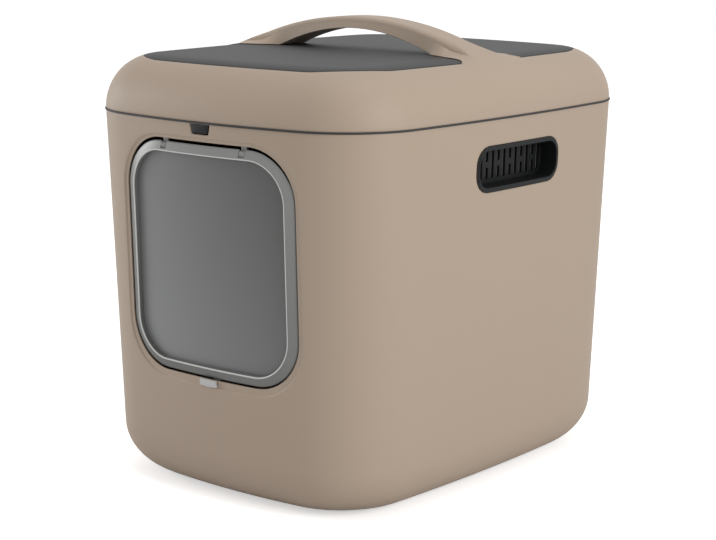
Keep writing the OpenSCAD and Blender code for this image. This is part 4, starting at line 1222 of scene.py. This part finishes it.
# Width, low and top, front and back, corner and edge of: the finger plate, its root in the band,
# the stem through the wall, the rear plate, the arm and the tongue
lock_parts = []
for w, low, top, front, back, corner_r, edge in (
        (LOCK_W, LOCK_TOP - LOCK_H, LOCK_TOP, -1.7, 0, 0.6, 0.3),
        (LOCK_W - 0.6, LOCK_TOP - LOCK_H + 0.3, STEM_TOP, -1, BAND_DEPTH - 0.1, 0.4, 0.1),
        (STEM_W, STEM_TOP - STEM_H + 0.35, STEM_TOP, -0.9, 5.8, 0.3, 0.1),
        (LOCK_W - 4, PLATE_LOW, STEM_TOP, 3.8, 6.2, 0.5, 0.2),
        (STEM_W, STEM_TOP - STEM_H, STEM_TOP, 5, TONGUE_DEPTH + 2, 0.5, 0.2),
        (STEM_W, STEM_TOP - STEM_H, TONGUE_TOP, TONGUE_DEPTH, TONGUE_DEPTH + TONGUE_T, 0.5, 0.3)):
    lock_parts += front_slab(w, low, top, front, back, corner_r, edge)
white_plastic = moulded_plastic("off-white plastic", OFF_WHITE, 0.4, 0.00001, 0.5)
lock = build("flap_lock_slide", lock_parts, white_plastic)
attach(lock, "lock")
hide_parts("flap_lock")

# The flap's lugs -------------------------------------------------------------------------
# Two grey mouldings on the wall's inner face. Each one's barrel fills its slot in the rim's top
# almost flush, and the flap's steel pin turns in it.

LUG_R = 3.95
LUG_EDGE = 0.3
LUG_ARM_Y = 5.94
LUG_ARM_T = 3
AXIS_Z = -FLAP_DROP - AXIS_DROP
AXIS_Y = AXIS_DEPTH + front_bow(LUG_X)

for side, lug_node in ((-1, "flap_hinge_left"), (1, "flap_hinge_right")):
    turn_angles = np.radians(np.arange(0, 360, 9))
    barrel_rings = []
    for x, r in (
            (-LUG_W / 2, LUG_R - LUG_EDGE), (-LUG_W / 2 + LUG_EDGE, LUG_R),
            (LUG_W / 2 - LUG_EDGE, LUG_R), (LUG_W / 2, LUG_R - LUG_EDGE)):
        barrel_rings.append(front_frame(np.column_stack([
            np.full(len(turn_angles), side * LUG_X + x), AXIS_Y + r * np.cos(turn_angles),
            AXIS_Z + r * np.sin(turn_angles)])))
    lug_parts = [skin(barrel_rings), cap(barrel_rings[0]), cap(barrel_rings[-1])]
    for w, low in ((LUG_W, AXIS_Z), (LUG_PAD_W, LUG_PAD_LOW)):
        plate = slab(
            rounded(w, LUG_PAD_TOP - low, 0.5, side * LUG_X, (LUG_PAD_TOP + low) / 2),
            LUG_ARM_Y, LUG_ARM_Y + LUG_ARM_T, 0.3)
        lug_parts += [(front_frame(points), faces) for points, faces in plate]
    # The lugs share the rim's plastic, with its painted shade.
    lug = build("flap_lug_left" if side < 0 else "flap_lug_right", lug_parts, rim_plastic_painted_shade)
    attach(lug, "base")
    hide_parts(lug_node)

# Grips, filters, covers and pins ---------------------------------------------------------
# Pieces whose CAD solids already have their true form: they keep it and get their materials. The
# grips and covers are the latch's near-black plastic, the pads dark carbon felt, the pins steel.

FELT = (0.018, 0.018, 0.019, 1)
FELT_FLECK = (0.07, 0.07, 0.072, 1)
STEEL = (0.46, 0.46, 0.47, 1)
STEEL_LIGHT = (0.552, 0.552, 0.564, 1)


def stretched_noise(tree, scale, stretch=(1, 1, 1)):
    """A noise over the piece's own coordinates, drawn out along an axis of small stretch."""
    place = tree.nodes.new("ShaderNodeTexCoord")
    pull = tree.nodes.new("ShaderNodeMapping")
    pull.inputs["Scale"].default_value = stretch
    noise = tree.nodes.new("ShaderNodeTexNoise")
    noise.inputs["Scale"].default_value = scale
    noise.inputs["Detail"].default_value = 3
    tree.links.new(place.outputs["Object"], pull.inputs["Vector"])
    tree.links.new(pull.outputs["Vector"], noise.inputs["Vector"])
    return noise.outputs["Fac"]


def rough_surface(name, tone_a, tone_b, scale, stretch, roughness, relief, metallic):
    """A material whose colour, shine and relief all follow one noise."""
    material = bpy.data.materials.new(name)
    material.use_nodes = True
    tree = material.node_tree
    shader = tree.nodes["Principled BSDF"]
    shader.inputs["Metallic"].default_value = metallic
    noise = stretched_noise(tree, scale, stretch)
    tone = tree.nodes.new("ShaderNodeMix")
    tone.data_type = "RGBA"
    tone.inputs["A"].default_value = tone_a
    tone.inputs["B"].default_value = tone_b
    shine = tree.nodes.new("ShaderNodeMapRange")
    shine.inputs["To Min"].default_value = roughness - 0.08
    shine.inputs["To Max"].default_value = roughness + 0.08
    bump = tree.nodes.new("ShaderNodeBump")
    bump.inputs["Strength"].default_value = 0.6
    bump.inputs["Distance"].default_value = relief
    tree.links.new(noise, tone.inputs["Factor"])
    tree.links.new(tone.outputs["Result"], shader.inputs["Base Color"])
    tree.links.new(noise, shine.inputs["Value"])
    tree.links.new(shine.outputs["Result"], shader.inputs["Roughness"])
    tree.links.new(noise, bump.inputs["Height"])
    tree.links.new(bump.outputs["Normal"], shader.inputs["Normal"])
    return material


felt = rough_surface("carbon felt", FELT, FELT_FLECK, 900, (1, 1, 0.4), 0.9, 0.0004, 0)
steel = rough_surface(
    "drawn steel", STEEL, STEEL_LIGHT, 1500, (0.08, 1, 1), 0.32, 0.00001, 1)
NODE_MATERIALS = {
    "side_grip_left": black_plastic, "side_grip_right": black_plastic,
    "filter_cover_left": black_plastic, "filter_cover_right": black_plastic,
    "vent_filter_left": felt, "vent_filter_right": felt, "latch_pin": steel,
    "hinge_pin_left": steel, "hinge_pin_right": steel,
    "flap_pin_left": steel, "flap_pin_right": steel,
}
for name, material in NODE_MATERIALS.items():
    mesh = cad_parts[name].data
    mesh.materials.clear()
    mesh.materials.append(material)
